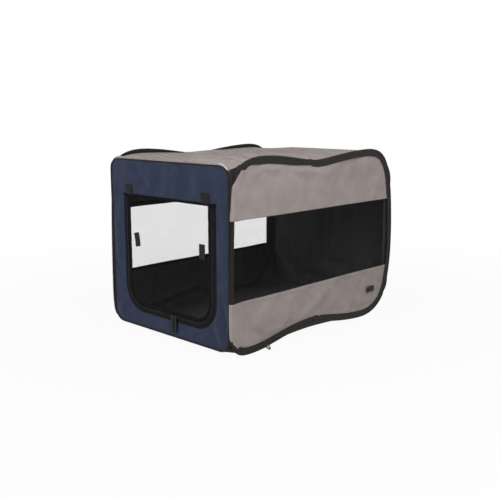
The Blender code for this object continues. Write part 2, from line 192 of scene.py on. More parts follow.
# %% [markdown]
# ## Tapes, webbing and thread
# Binding tape and zip tape are narrow woven ribbons with a rib across their width. The same
# weave does it, with threads that lie closer one way than the other. The tape on this
# crate is a warm, slightly brown black. Sewing thread is a spun polyester, a little
# lighter than the tape, so that a seam shows as a row of small ticks.

# %% Tapes, webbing and thread
binding_weave = woven("woven black binding tape", "#2a2724", "#171513", 0.0011, 0.6, 0.8, 0.08, 1.6)
zip_weave = woven("woven black zip tape", "#121313", "#0b0b0b", 0.0010, 0.4, 0.85, 0.01, 2.0,
                  gloss=0.08)
zip_weave_grey = woven("woven charcoal zip tape", "#1c1f20", "#121415", 0.0010, 0.4, 0.85, 0.01, 2.0,
                       gloss=0.08)
strap_weave = woven("black polyester webbing", "#1c1e1e", "#0f1010", 0.0018, 0.8, 0.7, 0.06, 0.6)
grey_webbing = woven("grey polyester webbing", "#767672", "#545451", 0.0018, 0.8, 0.75, 0.08, 0.6)
black_thread = woven("black sewing thread", "#2c2a27", "#1a1917", 0.0006, 0.5, 0.6)
grey_thread = woven("grey sewing thread", "#9f9591", "#827874", 0.0006, 0.5, 0.6)

# %% [markdown]
# ## Net
# The windows and the door are a warp-knitted polyester net with six-sided holes. Seen from
# a metre off it reads as a thin grey veil. It could be a see-through colour, but a real net
# is all or nothing at each point, so a hexagon pattern picks thread or hole: the distance to
# the nearest of two interleaved rows of centres is a hexagon's own distance.
# The holes are 2.4 mm across.

# %% Net
net_pitch = 0.0024
net_thread_share = 0.075
made, tree, output = new_material("black warp-knitted net")
flat_uv = add(tree, "UVMap", {"uv_map": "cloth"}).outputs["UV"]
cells = add(tree, "VectorMath", {"operation": "SCALE"},
            {"Vector": flat_uv, "Scale": 1 / net_pitch}).outputs["Vector"]
row = math.sqrt(3)
to_centre = []
for shift in ((0, 0, 0), (0.5, row / 2, 0)):
    moved = add(tree, "VectorMath", {"operation": "ADD"}, {0: cells, 1: shift}).outputs[0]
    wrapped = add(tree, "VectorMath", {"operation": "WRAP"},
                  {0: moved, 1: (0.5, row / 2, 1), 2: (-0.5, -row / 2, -1)}).outputs[0]
    corner = add(tree, "VectorMath", {"operation": "ABSOLUTE"}, {0: wrapped}).outputs[0]
    slant = add(tree, "VectorMath", {"operation": "DOT_PRODUCT"},
                {0: corner, 1: (0.5, row / 2, 0)}).outputs["Value"]
    straight = add(tree, "SeparateXYZ", inputs={0: corner}).outputs["X"]
    to_centre.append(add(tree, "Math", {"operation": "MAXIMUM"},
                         {0: slant, 1: straight}).outputs[0])
nearest = add(tree, "Math", {"operation": "MINIMUM"}, {0: to_centre[0], 1: to_centre[1]}).outputs[0]
on_thread = add(tree, "Math", {"operation": "GREATER_THAN"},
                {0: nearest, 1: 0.5 * (1 - net_thread_share)}).outputs[0]
yarn = add(tree, "BsdfPrincipled", inputs={
    "Base Color": linear("#151617"), "Roughness": 0.6, "Sheen Weight": 0.1,
    "Specular IOR Level": 0.25})
hole = add(tree, "BsdfTransparent")
knit = add(tree, "MixShader", inputs={
    "Fac": on_thread, 1: hole.outputs[0], 2: yarn.outputs[0]})
tree.links.new(knit.outputs[0], output.inputs["Surface"])
black_net = made

# %% [markdown]
# ## Nylon, enamel and spring steel
# The zip's teeth are a wound nylon monofilament: smooth, black, slightly glossy. Its
# sliders are die-cast zinc under black enamel, which keeps the casting's fine orange peel.
# The hoops are drawn spring wire with a thin zinc plating: drawing leaves faint lines along
# the wire, and the plating gives them a soft grey shine.

# %% Hard materials
def hard(name, colour, roughness, metallic=0.0, grain=(400, 400, 400), relief=0.05, coat=0.0):
    """A moulded, cast or drawn surface with its fine grain."""
    made, tree, output = new_material(name)
    place = add(tree, "TexCoord").outputs["Object"]
    spread = add(tree, "Mapping", inputs={"Vector": place, "Scale": grain}).outputs[0]
    speck = add(tree, "TexNoise", inputs={"Vector": spread, "Scale": 1.0, "Detail": 3.0}).outputs["Fac"]
    rough = add(tree, "MapRange", inputs={
        "Value": speck, "To Min": roughness - 0.08, "To Max": roughness + 0.12}).outputs["Result"]
    bump = add(tree, "Bump", inputs={
        "Strength": relief, "Distance": 0.0002, "Height": speck}).outputs["Normal"]
    shader = add(tree, "BsdfPrincipled", inputs={
        "Base Color": linear(colour), "Roughness": rough, "Metallic": metallic,
        "Normal": bump, "Coat Weight": coat, "Coat Roughness": 0.15})
    tree.links.new(shader.outputs[0], output.inputs["Surface"])
    return made


black_nylon = hard("wound black nylon", "#1b1b1c", 0.35)
black_enamel = hard("black enamel on die-cast zinc", "#202124", 0.3, coat=0.3)
spring_steel = hard("zinc-plated drawn spring wire", "#b4b6b9", 0.3, 1.0, (900, 900, 60))
for name, node in nodes.items():
    finish = spring_steel if "wire" in name or "ferrule" in name else black_enamel
    for material_slot in node.material_slots:
        material_slot.material = finish

# %% [markdown]
# ## Lines to sew along
# Nearly every piece here follows a line: tape round a ring, zip round an opening, stitches
# along a hem. A run holds evenly spaced stations on such a line, the way to its left, and
# how sharply it bends, because cloth puckers where a line bends.

# %% Runs
def lengths_along(line):
    """How far along a line each of its points lies."""
    return np.r_[0, np.cumsum(np.linalg.norm(np.diff(line, axis=0), axis=1))]


def points_at(line, far, at):
    """The points of a line at some lengths along it."""
    return np.column_stack([np.interp(at, far, line[:, k]) for k in range(line.shape[1])])


def soft_step(share):
    """A step from 0 to 1 that starts and ends level."""
    share = np.clip(share, 0, 1)
    return share * share * (3 - 2 * share)


def along_run(points, spacing, closed=False):
    """Evenly spaced stations along a line of points (a, b)."""
    line = np.asarray(points, float)
    if closed:
        line = np.vstack([line, line[:1]])
    line = line[np.r_[True, np.linalg.norm(np.diff(line, axis=0), axis=1) > 1e-7]]
    far = lengths_along(line)
    at = np.linspace(0, far[-1], max(round(far[-1] / spacing), 3) + 1)[:-1 if closed else None]
    place = points_at(line, far, at)
    if closed:
        way = np.roll(place, -1, 0) - np.roll(place, 1, 0)
    else:
        way = np.gradient(place, axis=0)
    way /= np.linalg.norm(way, axis=1)[:, None]
    ahead = np.roll(way, -1, 0) if closed else np.vstack([way[1:], way[-1:]])
    bend = (way[:, 0] * ahead[:, 1] - way[:, 1] * ahead[:, 0]) * len(at) / far[-1]
    return SimpleNamespace(at=at, place=place, way=way, left=way[:, ::-1] * (-1, 1), bend=bend,
                           length=far[-1], closed=closed)


def smooth_ring(points, steps):
    """A centripetal Catmull-Rom curve through a closed ring of points."""
    ring, found = np.asarray(points, float), []
    for i in range(len(ring)):
        p0, p1, p2, p3 = (ring[(i + k) % len(ring)] for k in (-1, 0, 1, 2))
        t1 = np.linalg.norm(p1 - p0) ** 0.5
        t2 = t1 + np.linalg.norm(p2 - p1) ** 0.5
        t3 = t2 + np.linalg.norm(p3 - p2) ** 0.5
        for t in t1 + (t2 - t1) * np.arange(steps) / steps:
            a1, a2 = p0 + (p1 - p0) * t / t1, p1 + (p2 - p1) * (t - t1) / (t2 - t1)
            a3 = p2 + (p3 - p2) * (t - t2) / (t3 - t2)
            b1, b2 = a1 + (a2 - a1) * t / t2, a2 + (a3 - a2) * (t - t1) / (t3 - t1)
            found.append(b1 + (b2 - b1) * (t - t1) / (t2 - t1))
    return np.array(found)


corner_steps = 16  # how many steps a rounded corner is turned in


def rounded(left, right, bottom, top, bottom_radius, top_radius, steps=corner_steps):
    """A rectangle with rounded corners, counter-clockwise from its lower left corner."""
    found = []
    for a, b, radius, turn in (
        (left + bottom_radius, bottom + bottom_radius, bottom_radius, 2),
        (right - bottom_radius, bottom + bottom_radius, bottom_radius, 3),
        (right - top_radius, top - top_radius, top_radius, 0),
        (left + top_radius, top - top_radius, top_radius, 1),
    ):
        for angle in (turn + np.arange(steps + 1) / steps) * math.pi / 2:
            found.append((a + radius * math.cos(angle), b + radius * math.sin(angle)))
    return found


def wall_outline(radii, inset=0.0):
    """An end wall's outline, some way in from its edge."""
    return rounded(-wall_reach + inset, wall_reach - inset, wall_low.z + inset,
                   wall_high.z - inset, *radii)


def opening_run(inset, top, spacing):
    """The door opening's edge from its top left round the bottom to its top right."""
    edge = rounded(opening.left + inset, opening.right - inset, opening.bottom + inset,
                   top, opening.corner - inset, 0.0)
    lower = edge[:2 * (corner_steps + 1)]
    return along_run([(lower[0][0], top), *lower, (lower[-1][0], top)], spacing)


def side_place(turn):
    """Put (y, z, out) on a side frame: turn is 1 for the right side and -1 for the left."""
    return lambda a, b, out: np.stack([turn * (side_plane + out) + 0 * a, a, b + 0 * a], -1)


def wall_place(plane):
    """Put (x, z, out) on an end wall."""
    turn = math.copysign(1, plane)
    return lambda a, b, out: np.stack([a, plane + turn * out + 0 * a, b + 0 * a], -1)


front_place = wall_place(front_plane)
forward = (0.0, -1.0, 0.0)  # the way the front wall looks

# %% [markdown]
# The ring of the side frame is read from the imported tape: of its points on the middle
# plane, the outer one of each pair lies on the crest of the fold.

# %% The side frame's ring
tape_points = np.array([v.co for v in nodes["right_binding"].data.vertices])
on_plane = tape_points[abs(tape_points[:, 0] - side_plane) < 2e-5][:, 1:]
on_plane = np.unique(np.round(on_plane, 5), axis=0)
frame_middle = on_plane.mean(0)
apart = np.linalg.norm(on_plane[:, None] - on_plane[None], axis=-1) + np.eye(len(on_plane))
from_middle = np.linalg.norm(on_plane - frame_middle, axis=1)
crest = on_plane[from_middle > from_middle[apart.argmin(1)]]
turn_of = np.arctan2(*(crest - frame_middle).T[::-1])
hoop = smooth_ring(crest[np.argsort(turn_of)], 24)
hoop_run = along_run(hoop, 0.001, closed=True)
print("ring points", len(crest), "ring length", round(hoop_run.length, 3))


def run_height(y, upper):
    """The height of the ring's upper or lower run at y."""
    half = hoop[(hoop[:, 1] > frame_middle[1]) == upper]
    half = half[np.argsort(half[:, 0])]
    return np.interp(y, half[:, 0], half[:, 1])


# %% [markdown]
# ## Meshes
# A piece is a grid of points joined into quads, with a UV map in metres. That keeps the
# weave at its real scale, and it bends with the cloth. Faces are turned outward, so that
# the lining lands on the inside.

# %% Mesh helpers
def new_piece(name, points, faces, corner_uv, finishes):
    """A mesh object from points, faces and one UV for each face corner."""
    mesh = bpy.data.meshes.new(name)
    mesh.from_pydata(np.asarray(points).reshape(-1, 3).tolist(), [], faces)
    for finish in finishes:
        mesh.materials.append(finish)
    layer = mesh.uv_layers.new(name="cloth")
    layer.data.foreach_set("uv", np.asarray(corner_uv, np.float32).ravel())
    mesh.shade_smooth()
    made = bpy.data.objects.new(name, mesh)
    bpy.context.scene.collection.objects.link(made)
    return made


def grid_piece(name, points, u, v, finishes, round_u=False, round_v=False, keep=None, flip=False):
    """A grid of points (rows by columns), which may close on itself either way."""
    rows, columns = points.shape[:2]
    i, j = np.meshgrid(np.arange(rows if round_u else rows - 1),
                       np.arange(columns if round_v else columns - 1), indexing="ij")
    if keep is not None:
        i, j = i[keep], j[keep]
    i, j = i.ravel(), j.ravel()
    steps = [(0, 0), (1, 0), (1, 1), (0, 1)]
    if flip:
        steps = steps[::-1]
    faces = np.stack([(i + a) % rows * columns + (j + b) % columns for a, b in steps], -1)
    if u.ndim == 1:
        u = np.repeat(u[:, None], v.shape[-1], 1)
        v = np.repeat(v[None], u.shape[0], 0)
    corner_uv = np.stack([np.stack([u[i + a, j + b], v[i + a, j + b]], -1) for a, b in steps], 1)
    used = np.unique(faces)
    renumber = np.zeros(rows * columns, int)
    renumber[used] = np.arange(len(used))
    return new_piece(name, points.reshape(-1, 3)[used], renumber[faces].tolist(), corner_uv, finishes)


def sweep(name, run, section, place, finishes, swell=None, close_section=False, flip=False,
          narrow=None):
    """Carry a section of points (depth, out) along a run. swell moves the section outward, and
    narrow changes its depth from place to place."""
    depth, out = np.asarray(section, float).T
    depth = np.repeat(depth[None], len(run.at), 0) if narrow is None else narrow(run, depth[None])
    a = run.place[:, None, 0] + depth * run.left[:, None, 0]
    b = run.place[:, None, 1] + depth * run.left[:, None, 1]
    side = np.repeat(out[None], len(run.at), 0)
    if swell is not None:
        side = side + swell(run, depth, side)
    round_section = np.r_[section, section[:1]] if close_section else np.asarray(section)
    far = np.r_[run.at, run.length] if run.closed else run.at
    return grid_piece(name, place(a, b, side), far, lengths_along(round_section), finishes,
                      run.closed, close_section, flip=flip)


def thicken(piece, thickness, lining=False, offset=-1.0):
    """Give a sheet its thickness. With lining, the inner face takes the second material."""
    thick = piece.modifiers.new("thickness", "SOLIDIFY")
    thick.thickness = thickness
    thick.offset = offset
    thick.material_offset = int(lining)
    return piece


squashed_bodies = ("shell", "door", "strap_left", "strap_right")


def dress(piece, body, replaced=()):
    """Hang a piece on its body, hide the imported parts it stands for, and give it a mesh of its own on a
    squashed body.
    """
    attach(piece, body)
    if replaced:
        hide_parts(*replaced)
    if body in squashed_bodies:
        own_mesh(piece)
    return piece


# %% [markdown]
# ## Stitches
# Each stitch is a short spindle of thread whose two ends dive into the cloth. They are
# too small to model one by one by hand, but a row of them is one array sum: the same
# spindle at every place along the seam.

# %% Stitches
stitch_length, stitch_pitch, thread_radius = 0.0027, 0.0036, 0.00028


def stitches(name, places, normal, finish, pitch=stitch_pitch):
    """A row of stitches along a line of points in space, on cloth that looks one way."""
    places, up = np.asarray(places, float), np.asarray(normal, float)
    far = lengths_along(places)
    at = np.arange(pitch, far[-1] - pitch / 2, pitch)
    centre = points_at(places, far, at)
    way = points_at(places, far, at + pitch / 4) - centre
    way /= np.linalg.norm(way, axis=1)[:, None]
    across = np.cross(up, way)
    half, r = stitch_length / 2, thread_radius
    spindle = [(-half, 0, -r)]
    for t in (-0.55, 0.55):
        spindle += [(t * half, r, 0), (t * half, 0, r), (t * half, -r, 0), (t * half, 0, -r)]
    spindle.append((half, 0, -r))
    spindle = np.array(spindle)
    points = (centre[:, None] + way[:, None] * spindle[None, :, :1]
              + across[:, None] * spindle[None, :, 1:2] + up * spindle[None, :, 2:])
    faces = []
    for k in range(4):
        j = (k + 1) % 4
        faces += [(0, 1 + j, 1 + k), (1 + k, 1 + j, 5 + j, 5 + k), (5 + k, 5 + j, 9)]
    all_faces = [tuple(len(spindle) * n + v for v in face) for n in range(len(at)) for face in faces]
    corners = [v for face in faces for v in face] * len(at)
    return new_piece(name, points, all_faces, spindle[corners][:, :2], [finish])


def joined(name, pieces):
    """Several pieces as one object."""
    with bpy.context.temp_override(active_object=pieces[0], selected_editable_objects=pieces):
        bpy.ops.object.join()
    pieces[0].name = name
    return pieces[0]

# %% [markdown]
# ## Binding tape
# A 19 mm tape is folded over the hoop and over the raw edge of the side wall, and sewn
# through. Where the ring turns a corner, the inner edge of the tape has length to spare and
# puckers; where the ring arches inward, the crest does. So the section is carried round
# the ring, and a ripple pushes it outward by how sharply the ring bends there.

# %% Binding tape
tape_depth, tape_leg, tape_seam = 0.019, 0.0019, 0.0162  # to its edge, half thick, to its seam
pucker_length, pucker_height = 0.0058, 0.0015


def fold_section(radius, leg, depth, steps, leg_steps):
    """The outside of a folded tape, from one leg's end over the crest to the other's."""
    start = math.asin(leg / radius)
    bend = [(radius + radius * math.cos(a), radius * math.sin(a))
            for a in np.linspace(start, math.pi, steps)]
    straight = [(depth + (bend[0][0] - depth) * t, leg) for t in np.arange(leg_steps) / leg_steps]
    half = straight + bend
    return np.array(half + [(d, -s) for d, s in half[-2::-1]])


# Where the side cloth's lap over the front upright ends, above and below, and how it fades there
lap_top, lap_top_fade = 0.458, 0.064
lap_foot, lap_foot_fade = 0.008, 0.040
upright_back, upright_fade, leg_lost = -0.270, 0.020, 0.95  # the upright's tape, and how it narrows
# Soft bumps along the hoop, as (place, reach, height): where the upper run's leg was sewn
# narrower, over the first hump and at the ferrule, and the little steps at the ferrules
narrow_places = ((-0.262, 0.022, 0.38), (-0.055, 0.030, 0.38))
upper_kink = ((-0.056, 0.005, 0.0005), (-0.044, 0.006, -0.0016))
lower_kink = ((-0.015, 0.006, 0.0016), (-0.002, 0.005, -0.0014))


def covered(z):
    """How far the side cloth laps over the front upright at height z, from 0 to 1."""
    return soft_step(np.clip((lap_top - z) / lap_top_fade, 0, 1)
                     * np.clip((z - lap_foot) / lap_foot_fade, 0, 1))


def bumps(y, places):
    """The sum of some soft bumps at y."""
    return sum(height * np.exp(-(((y - place) / reach) ** 2)) for place, reach, height in places)


def narrowed(run, depth):
    """The tape's depth. On the front upright the side cloth laps over its leg, and at two places
    of the upper run the leg was sewn narrower."""
    fold = 2 * tape_crest
    y, z = run.place.T
    lapped = np.clip(4 * covered(z), 0, 1)
    front_leg = lapped * np.clip((upright_back - y) / upright_fade, 0, 1)
    narrow = bumps(y, narrow_places) * (z > frame_middle[1])
    leg = np.maximum(depth - fold, 0) * ((1 - leg_lost * front_leg) * (1 - narrow))[:, None]
    return np.minimum(depth, fold) + leg


def kinked(run):
    """The hoop's line with the little steps where the ferrule joins the wire."""
    y, z = run.place.T
    step = np.where(z > frame_middle[1], bumps(y, upper_kink), bumps(y, lower_kink))
    run.place = run.place + run.left * step[:, None]
    return run


def sides_only(side):
    """1 and -1 on the two faces of a folded tape, and between them round its crest."""
    return np.clip(side / 0.0009, -1, 1)


full_corner, full_hollow = 14, 5  # the bends, in turns of a radian to the metre, that pucker fully
bend_window = 25  # how many stations a bend is evened out over


def puckers(run, depth, side):
    """How far tape stands off where its ring bends."""
    at = run.at[:, None]
    kernel = np.hanning(bend_window) / np.hanning(bend_window).sum()
    ends = bend_window // 2
    bend = np.convolve(np.r_[run.bend[-ends:], run.bend, run.bend[:ends]], kernel, "valid")[:, None]
    corner = np.clip(bend / full_corner, 0, 1) ** 1.2
    hollow = np.clip(-bend / full_hollow, 0, 1)
    # Three uneven waves, so that no two puckers are the same
    phase = 2 * math.pi * at / pucker_length + 2.1 * np.sin(at * 97) + 1.3 * np.sin(at * 233)
    phase = phase + np.sign(side) * 1.9 + depth * 90
    ripple = (0.5 + 0.5 * np.sin(phase)) ** 1.5
    slow = 0.5 + 0.5 * np.sin(phase / 3.3 + 1)
    reach = np.clip(depth / tape_depth, 0, 1)
    lift = pucker_height * (corner * reach ** 1.4 + 0.35 * hollow * (1 - reach))
    lift = lift * (0.7 * ripple + 0.5 * slow) + 0.00018 * slow
    return sides_only(side) * lift


def bound_side(side, turn):
    """The tape of one side frame, with a row of stitches on both faces."""
    place = side_place(turn)
    run = kinked(along_run(hoop, 0.0013, closed=True))
    section = fold_section(tape_crest, tape_leg, tape_depth, 9, 9)
    tape = sweep(f"{side}_binding_tape", run, section, place, [binding_weave], puckers,
                 flip=turn > 0, narrow=narrowed)
    thicken(tape, 0.0007)
    dress(tape, f"{side}_side", [f"{side}_binding"])
    rows = []
    for face in (1, -1):
        depth = np.full((1, 1), tape_seam)
        out = np.full((1, 1), face * tape_leg)
        lift = puckers(run, depth, np.repeat(out, len(run.at), 0))
        line = run.place + narrowed(run, depth) * run.left
        places = place(line[:, 0], line[:, 1], (out + lift)[:, 0])
        rows.append(stitches(f"row{face}", places, (turn * face, 0.0, 0.0), black_thread))
    dress(joined(f"{side}_binding_stitches", rows), f"{side}_side")
    return tape


for side, turn in sides:
    print(side, "tape quads", len(bound_side(side, turn).data.polygons))

# %% [markdown]
# ## Folds
# Cloth that is sewn to a bent frame never lies quite flat. Each fold is drawn as a soft
# ridge along a line, highest in its middle. The long ones follow what pulls on the cloth:
# down from the hump of the hoop, and slanting to the rear from its front foot. A short
# cloth simulation then lets the real stiffness of the cloth round them off.

# %% Folds and shared sheet helpers
def folds(a, b, ridges):
    """How far cloth stands out at (a, b), from ridges (a0, b0, a1, b1, width, height)."""
    total = np.zeros(np.shape(a))
    for a0, b0, a1, b1, width, height in ridges:
        line = np.array([a1 - a0, b1 - b0])
        length = np.linalg.norm(line)
        line = line / length
        along = ((a - a0) * line[0] + (b - b0) * line[1]) / length
        across = ((a - a0) * line[1] - (b - b0) * line[0]) / (1.25 * width)
        fade = np.sin(math.pi * np.clip(along, 0, 1)) ** 0.8
        total += height * fade * np.exp(-across**2) * (1 - 0.35 * across)
    return total


def within(points, ring):
    """Which points (a, b) lie inside a closed ring."""
    a, b = points[:, 0, None], points[:, 1, None]
    a0, b0 = ring.T
    a1, b1 = np.roll(ring, -1, 0).T
    crossing = (b0 > b) != (b1 > b)
    rise = np.where(b1 == b0, 1, b1 - b0)
    return (crossing & (a < a0 + (b - b0) * (a1 - a0) / rise)).sum(1) % 2 == 1


def hoop_front(z):
    """Where the front upright of the hoop runs at height z."""
    front = hoop[(hoop[:, 0] < -0.25)]
    front = front[np.argsort(front[:, 1])]
    return np.interp(z, front[:, 1], front[:, 0])


def depth_in(points, ring):
    """How far points lie from a ring."""
    return np.array([np.linalg.norm(ring - p, axis=1).min() for p in points])


soft_sheets = []


def soften(piece, sewn, growth, reach=0.006):
    """Note a sheet for the simulation: which points are sewn, and how much cloth is spare."""
    group = piece.vertex_groups.new(name="sewn")
    group.add([int(k) for k in np.flatnonzero(sewn)], 1.0, "REPLACE")
    soft_sheets.append((piece, growth, reach))
    return piece


# %% [markdown]
# ## Side walls
# Each side wall is three sheets: grey cloth, a band of net, grey cloth. They are cut on a
# fine grid inside the ring, a little larger than what shows, so that their edges are held
# between the legs of the tape as the real ones are.

# %% Side walls
grid_step = 0.0055
side_bands = {
    "lower_panel": (hoop[:, 1].min(), window.bottom),
    "window": (window.bottom, window.top),
    "upper_panel": (window.top, hoop[:, 1].max()),
}
side_ridges = {
    "upper_panel": (
        (-0.309, 0.372, -0.283, 0.440, 0.008, 0.0032), (-0.285, 0.370, -0.258, 0.440, 0.010, -0.0018),
        (-0.205, 0.452, -0.168, 0.325, 0.013, -0.0013), (-0.148, 0.450, -0.118, 0.340, 0.015, 0.0011),
        (-0.100, 0.425, 0.050, 0.405, 0.011, 0.0018), (-0.010, 0.385, 0.055, 0.335, 0.008, 0.0024),
        (0.06, 0.40, 0.27, 0.35, 0.018, -0.0014), (0.12, 0.445, 0.27, 0.40, 0.012, 0.0014),
    ),
    "lower_panel": (
        (-0.198, 0.132, -0.222, 0.036, 0.010, 0.0028), (-0.160, 0.122, -0.190, 0.045, 0.011, -0.0018),
        (-0.108, 0.112, -0.148, 0.032, 0.010, 0.0026), (0.028, 0.108, -0.072, 0.050, 0.009, 0.0028),
        (0.052, 0.094, -0.032, 0.044, 0.009, -0.0022), (0.060, 0.120, 0.150, 0.040, 0.014, -0.0016),
        (0.14, 0.046, 0.25, 0.032, 0.010, 0.0016),
    ),
    "window": (
        (-0.29, 0.20, 0.20, 0.255, 0.030, 0.0022), (-0.20, 0.30, 0.28, 0.20, 0.026, -0.0020),
        (-0.05, 0.16, 0.29, 0.19, 0.020, 0.0018),
    ),
}
edge_sway = ((-0.25, 0, -0.05, 0, 0.4, 0.0016), (0.02, 0, 0.26, 0, 0.4, -0.0014))

# How a sheet laps over the front upright: how far behind the hoop's front its edge lies, and
# how far it stands out at some distances behind that front
over_tape = tape_crest + 0.0010
lap_from = (-0.0018, -0.0006, 0.0006, tape_crest, 0.0130, 0.0240, 0.0390)
cloth_lap = SimpleNamespace(
    edge=-0.0018, out=(-0.0030, 0.0, 0.75 * over_tape, over_tape, over_tape, 0.0018, 0.0))
net_lap = SimpleNamespace(
    edge=0.0010, out=(over_tape, over_tape, over_tape, over_tape, 0.0030, 0.0014, 0.0))
lap_columns = 14
lap_end = front_plane + lap_columns * grid_step
tucked_edge = 0.018  # where the lap ends, the sheet's edge goes back under the tape's leg
lap_begins, lap_fades = 0.22, 0.16  # how covered the upright is where the sheet comes out over it
held_depth = 0.008  # how deep inside the ring a side sheet's edge lies, under the tape
free_depth, ease_length = 0.0165, 0.016  # where the tape lets it go, and how its folds begin there
hem_reach = 0.025  # how far from a window's hem the folds are held down
fold_share, left_shift = 0.85, 0.02  # how strong the folds are, and how far the left ones shift


def side_sheet(side, turn, part):
    """One sheet of a side wall."""
    low, high = side_bands[part]
    netted = part == "window"
    finishes, growth = ([black_net], 0.003) if netted else ([grey_oxford, side_back], 0.010)
    rows = max(round((high - low) / grid_step), 4) + 1
    columns = round((rear_plane - front_plane) / grid_step) + 1
    y = np.linspace(front_plane, rear_plane, columns)
    z = np.linspace(low, high, rows)
    yy, zz = np.meshgrid(y, z, indexing="ij")
    # The first columns are drawn forward, to the edge that laps over the front upright
    lap = net_lap if netted else cloth_lap
    lapped = covered(z)
    edge = hoop_front(z) + lap.edge * lapped + tucked_edge * (1 - lapped)
    edge = np.minimum(edge, lap_end - 0.010)
    share = (np.arange(lap_columns) / lap_columns)[:, None] ** 2.2
    yy[:lap_columns] = edge + (lap_end - edge) * share
    # Where the lap begins, the sheet comes out from under the tape over a short stretch
    comes_out = np.clip((lapped - lap_begins) / lap_fades, 0, 1)
    lap_out = np.interp(yy - hoop_front(z), lap_from, lap.out) * comes_out
    in_lap = (np.arange(columns) < lap_columns)[:, None] & (lapped > 0.05)
    flat = np.column_stack([yy.ravel(), zz.ravel()])
    depth = depth_in(flat, hoop).reshape(yy.shape)
    held = (within(flat, hoop).reshape(yy.shape) & (depth > held_depth)) | in_lap
    shown = np.where(held, depth, 0)
    shift = 0 if side == "right" else left_shift
    sway = folds(yy, 0 * zz, edge_sway)
    stand = fold_share * folds(yy + shift, zz, side_ridges[part]) + sway
    for hemmed in (low, high):
        if hemmed in (window.bottom, window.top):
            from_edge = np.clip(abs(zz - hemmed) / hem_reach, 0, 1)
            stand = stand * from_edge + sway * (1 - from_edge)
    stand = stand * soft_step((shown - free_depth) / ease_length) + lap_out
    cells = held[:-1, :-1] & held[1:, :-1] & held[:-1, 1:] & held[1:, 1:]
    piece = grid_piece(f"{side}_net" if netted else f"{side}_{part}_cloth",
                       side_place(turn)(yy, zz, stand), yy, zz, finishes, keep=cells,
                       flip=turn < 0)
    kept = np.zeros(held.shape, bool)
    for a in (0, 1):
        for b in (0, 1):
            kept[a:held.shape[0] - 1 + a, b:held.shape[1] - 1 + b] |= cells
    sewn = (shown < 0.0175) | (zz < low + 1e-6) | (zz > high - 1e-6)
    sewn = sewn | (in_lap & (yy - edge < 0.012))
    soften(piece, sewn[kept], growth)
    piece["flat_area"] = float((np.diff(yy, axis=0)[:, :-1] * cells).sum() * (z[1] - z[0]))
    return piece


side_parts = {}
for side, turn in sides:
    for part in side_bands:
        side_parts[side, part] = side_sheet(side, turn, part)
print({key: round(piece["flat_area"], 4) for key, piece in side_parts.items()})

# %% [markdown]
# ## End walls
# The front wall is a rounded rectangle of navy cloth with the door opening cut in it. It is
# built in rings, from the outer edge to the opening, so that both edges are clean curves and
# the cloth can fold between them. The rear wall is plain, and is built in rows.

# %% Walls
wall_ridges = (
    (-0.175, 0.44, -0.100, 0.375, 0.010, 0.0034), (-0.145, 0.445, -0.070, 0.372, 0.009, -0.0026),
    (-0.062, 0.445, -0.056, 0.362, 0.012, 0.0026), (-0.022, 0.445, -0.026, 0.362, 0.014, -0.0024),
    (0.035, 0.445, 0.040, 0.362, 0.012, 0.0026), (0.075, 0.445, 0.082, 0.362, 0.013, -0.0024),
    (0.125, 0.445, 0.112, 0.362, 0.012, 0.0020), (0.178, 0.440, 0.196, 0.30, 0.010, 0.0022),
    (0.200, 0.33, 0.199, 0.18, 0.010, 0.0020), (0.165, 0.115, 0.198, 0.028, 0.008, 0.0036),
    (0.185, 0.15, 0.212, 0.05, 0.007, -0.0028), (0.148, 0.070, 0.185, 0.020, 0.008, -0.0024),
    (-0.198, 0.35, -0.194, 0.16, 0.010, 0.0022), (-0.165, 0.075, -0.205, 0.030, 0.010, 0.0026),
    (-0.06, 0.045, 0.05, 0.022, 0.010, 0.0018),
)
wall_slack = 1.6  # the front wall's cloth is looser than the side walls'
wall_inset = 0.002  # how far inside its piping's crest a wall's cloth ends


def edge_stations(outline, corners, counts):
    """Points round an outline, with a fixed count on each stretch between corners."""
    line, found = np.asarray(outline, float), []
    for k, count in enumerate(counts):
        start, end = corners[k], corners[(k + 1) % len(corners)]
        stretch = line[start:end + 1] if end > start else np.vstack([line[start:], line[:end + 1]])
        far = lengths_along(stretch)
        found.append(points_at(stretch, far, np.linspace(0, far[-1], count + 1)[:-1]))
    return np.vstack(found)


def front_wall():
    """The front wall's cloth, between its piping and the door opening."""
    counts, rings = (66, 72, 66, 72), 15
    outer = wall_outline(front_radii, wall_inset)
    inner = rounded(opening.left, opening.right, opening.bottom, opening.top, opening.corner, 0.0001)
    middles = [corner_steps // 2 + (corner_steps + 1) * k for k in range(4)]
    outer, inner = (edge_stations(line, middles, counts) for line in (outer, inner))
    share = np.linspace(0, 1, rings)[None, :, None]
    points = outer[:, None] * (1 - share) + inner[:, None] * share
    x, z = points[..., 0], points[..., 1]
    from_edge = np.linalg.norm(points - outer[:, None], axis=-1)
    from_hole = np.linalg.norm(points - inner[:, None], axis=-1)
    ease = np.clip((from_edge - 0.004) / 0.014, 0, 1) * np.clip((from_hole - 0.001) / 0.012, 0, 1)
    stand = wall_slack * folds(x, z, wall_ridges) * ease + 0.0012 * np.sin(math.pi * share[..., 0])
    u, v = np.vstack([x, x[:1]]), np.vstack([z, z[:1]])
    piece = grid_piece("front_cloth", front_place(x, z, stand), u, v,
                       [navy_oxford, coated_back], round_u=True)
    sewn = (from_edge < 0.006) | (from_hole < 0.004)
    soften(piece, sewn.ravel(), 0.006, 0.005)
    piece["flat_area"] = float(2 * wall_reach * (wall_high.z - wall_low.z)
                               - (opening.right - opening.left) * (opening.top - opening.bottom))
    return piece


def width_at(z, low, high, low_radius, high_radius, reach):
    """How far a rounded rectangle reaches to each side at height z."""
    below = np.clip(low + low_radius - z, 0, low_radius)
    above = np.clip(z - high + high_radius, 0, high_radius)
    return (reach - low_radius + np.sqrt(np.maximum(low_radius**2 - below**2, 0))
            + np.sqrt(np.maximum(high_radius**2 - above**2, 0)) - high_radius)


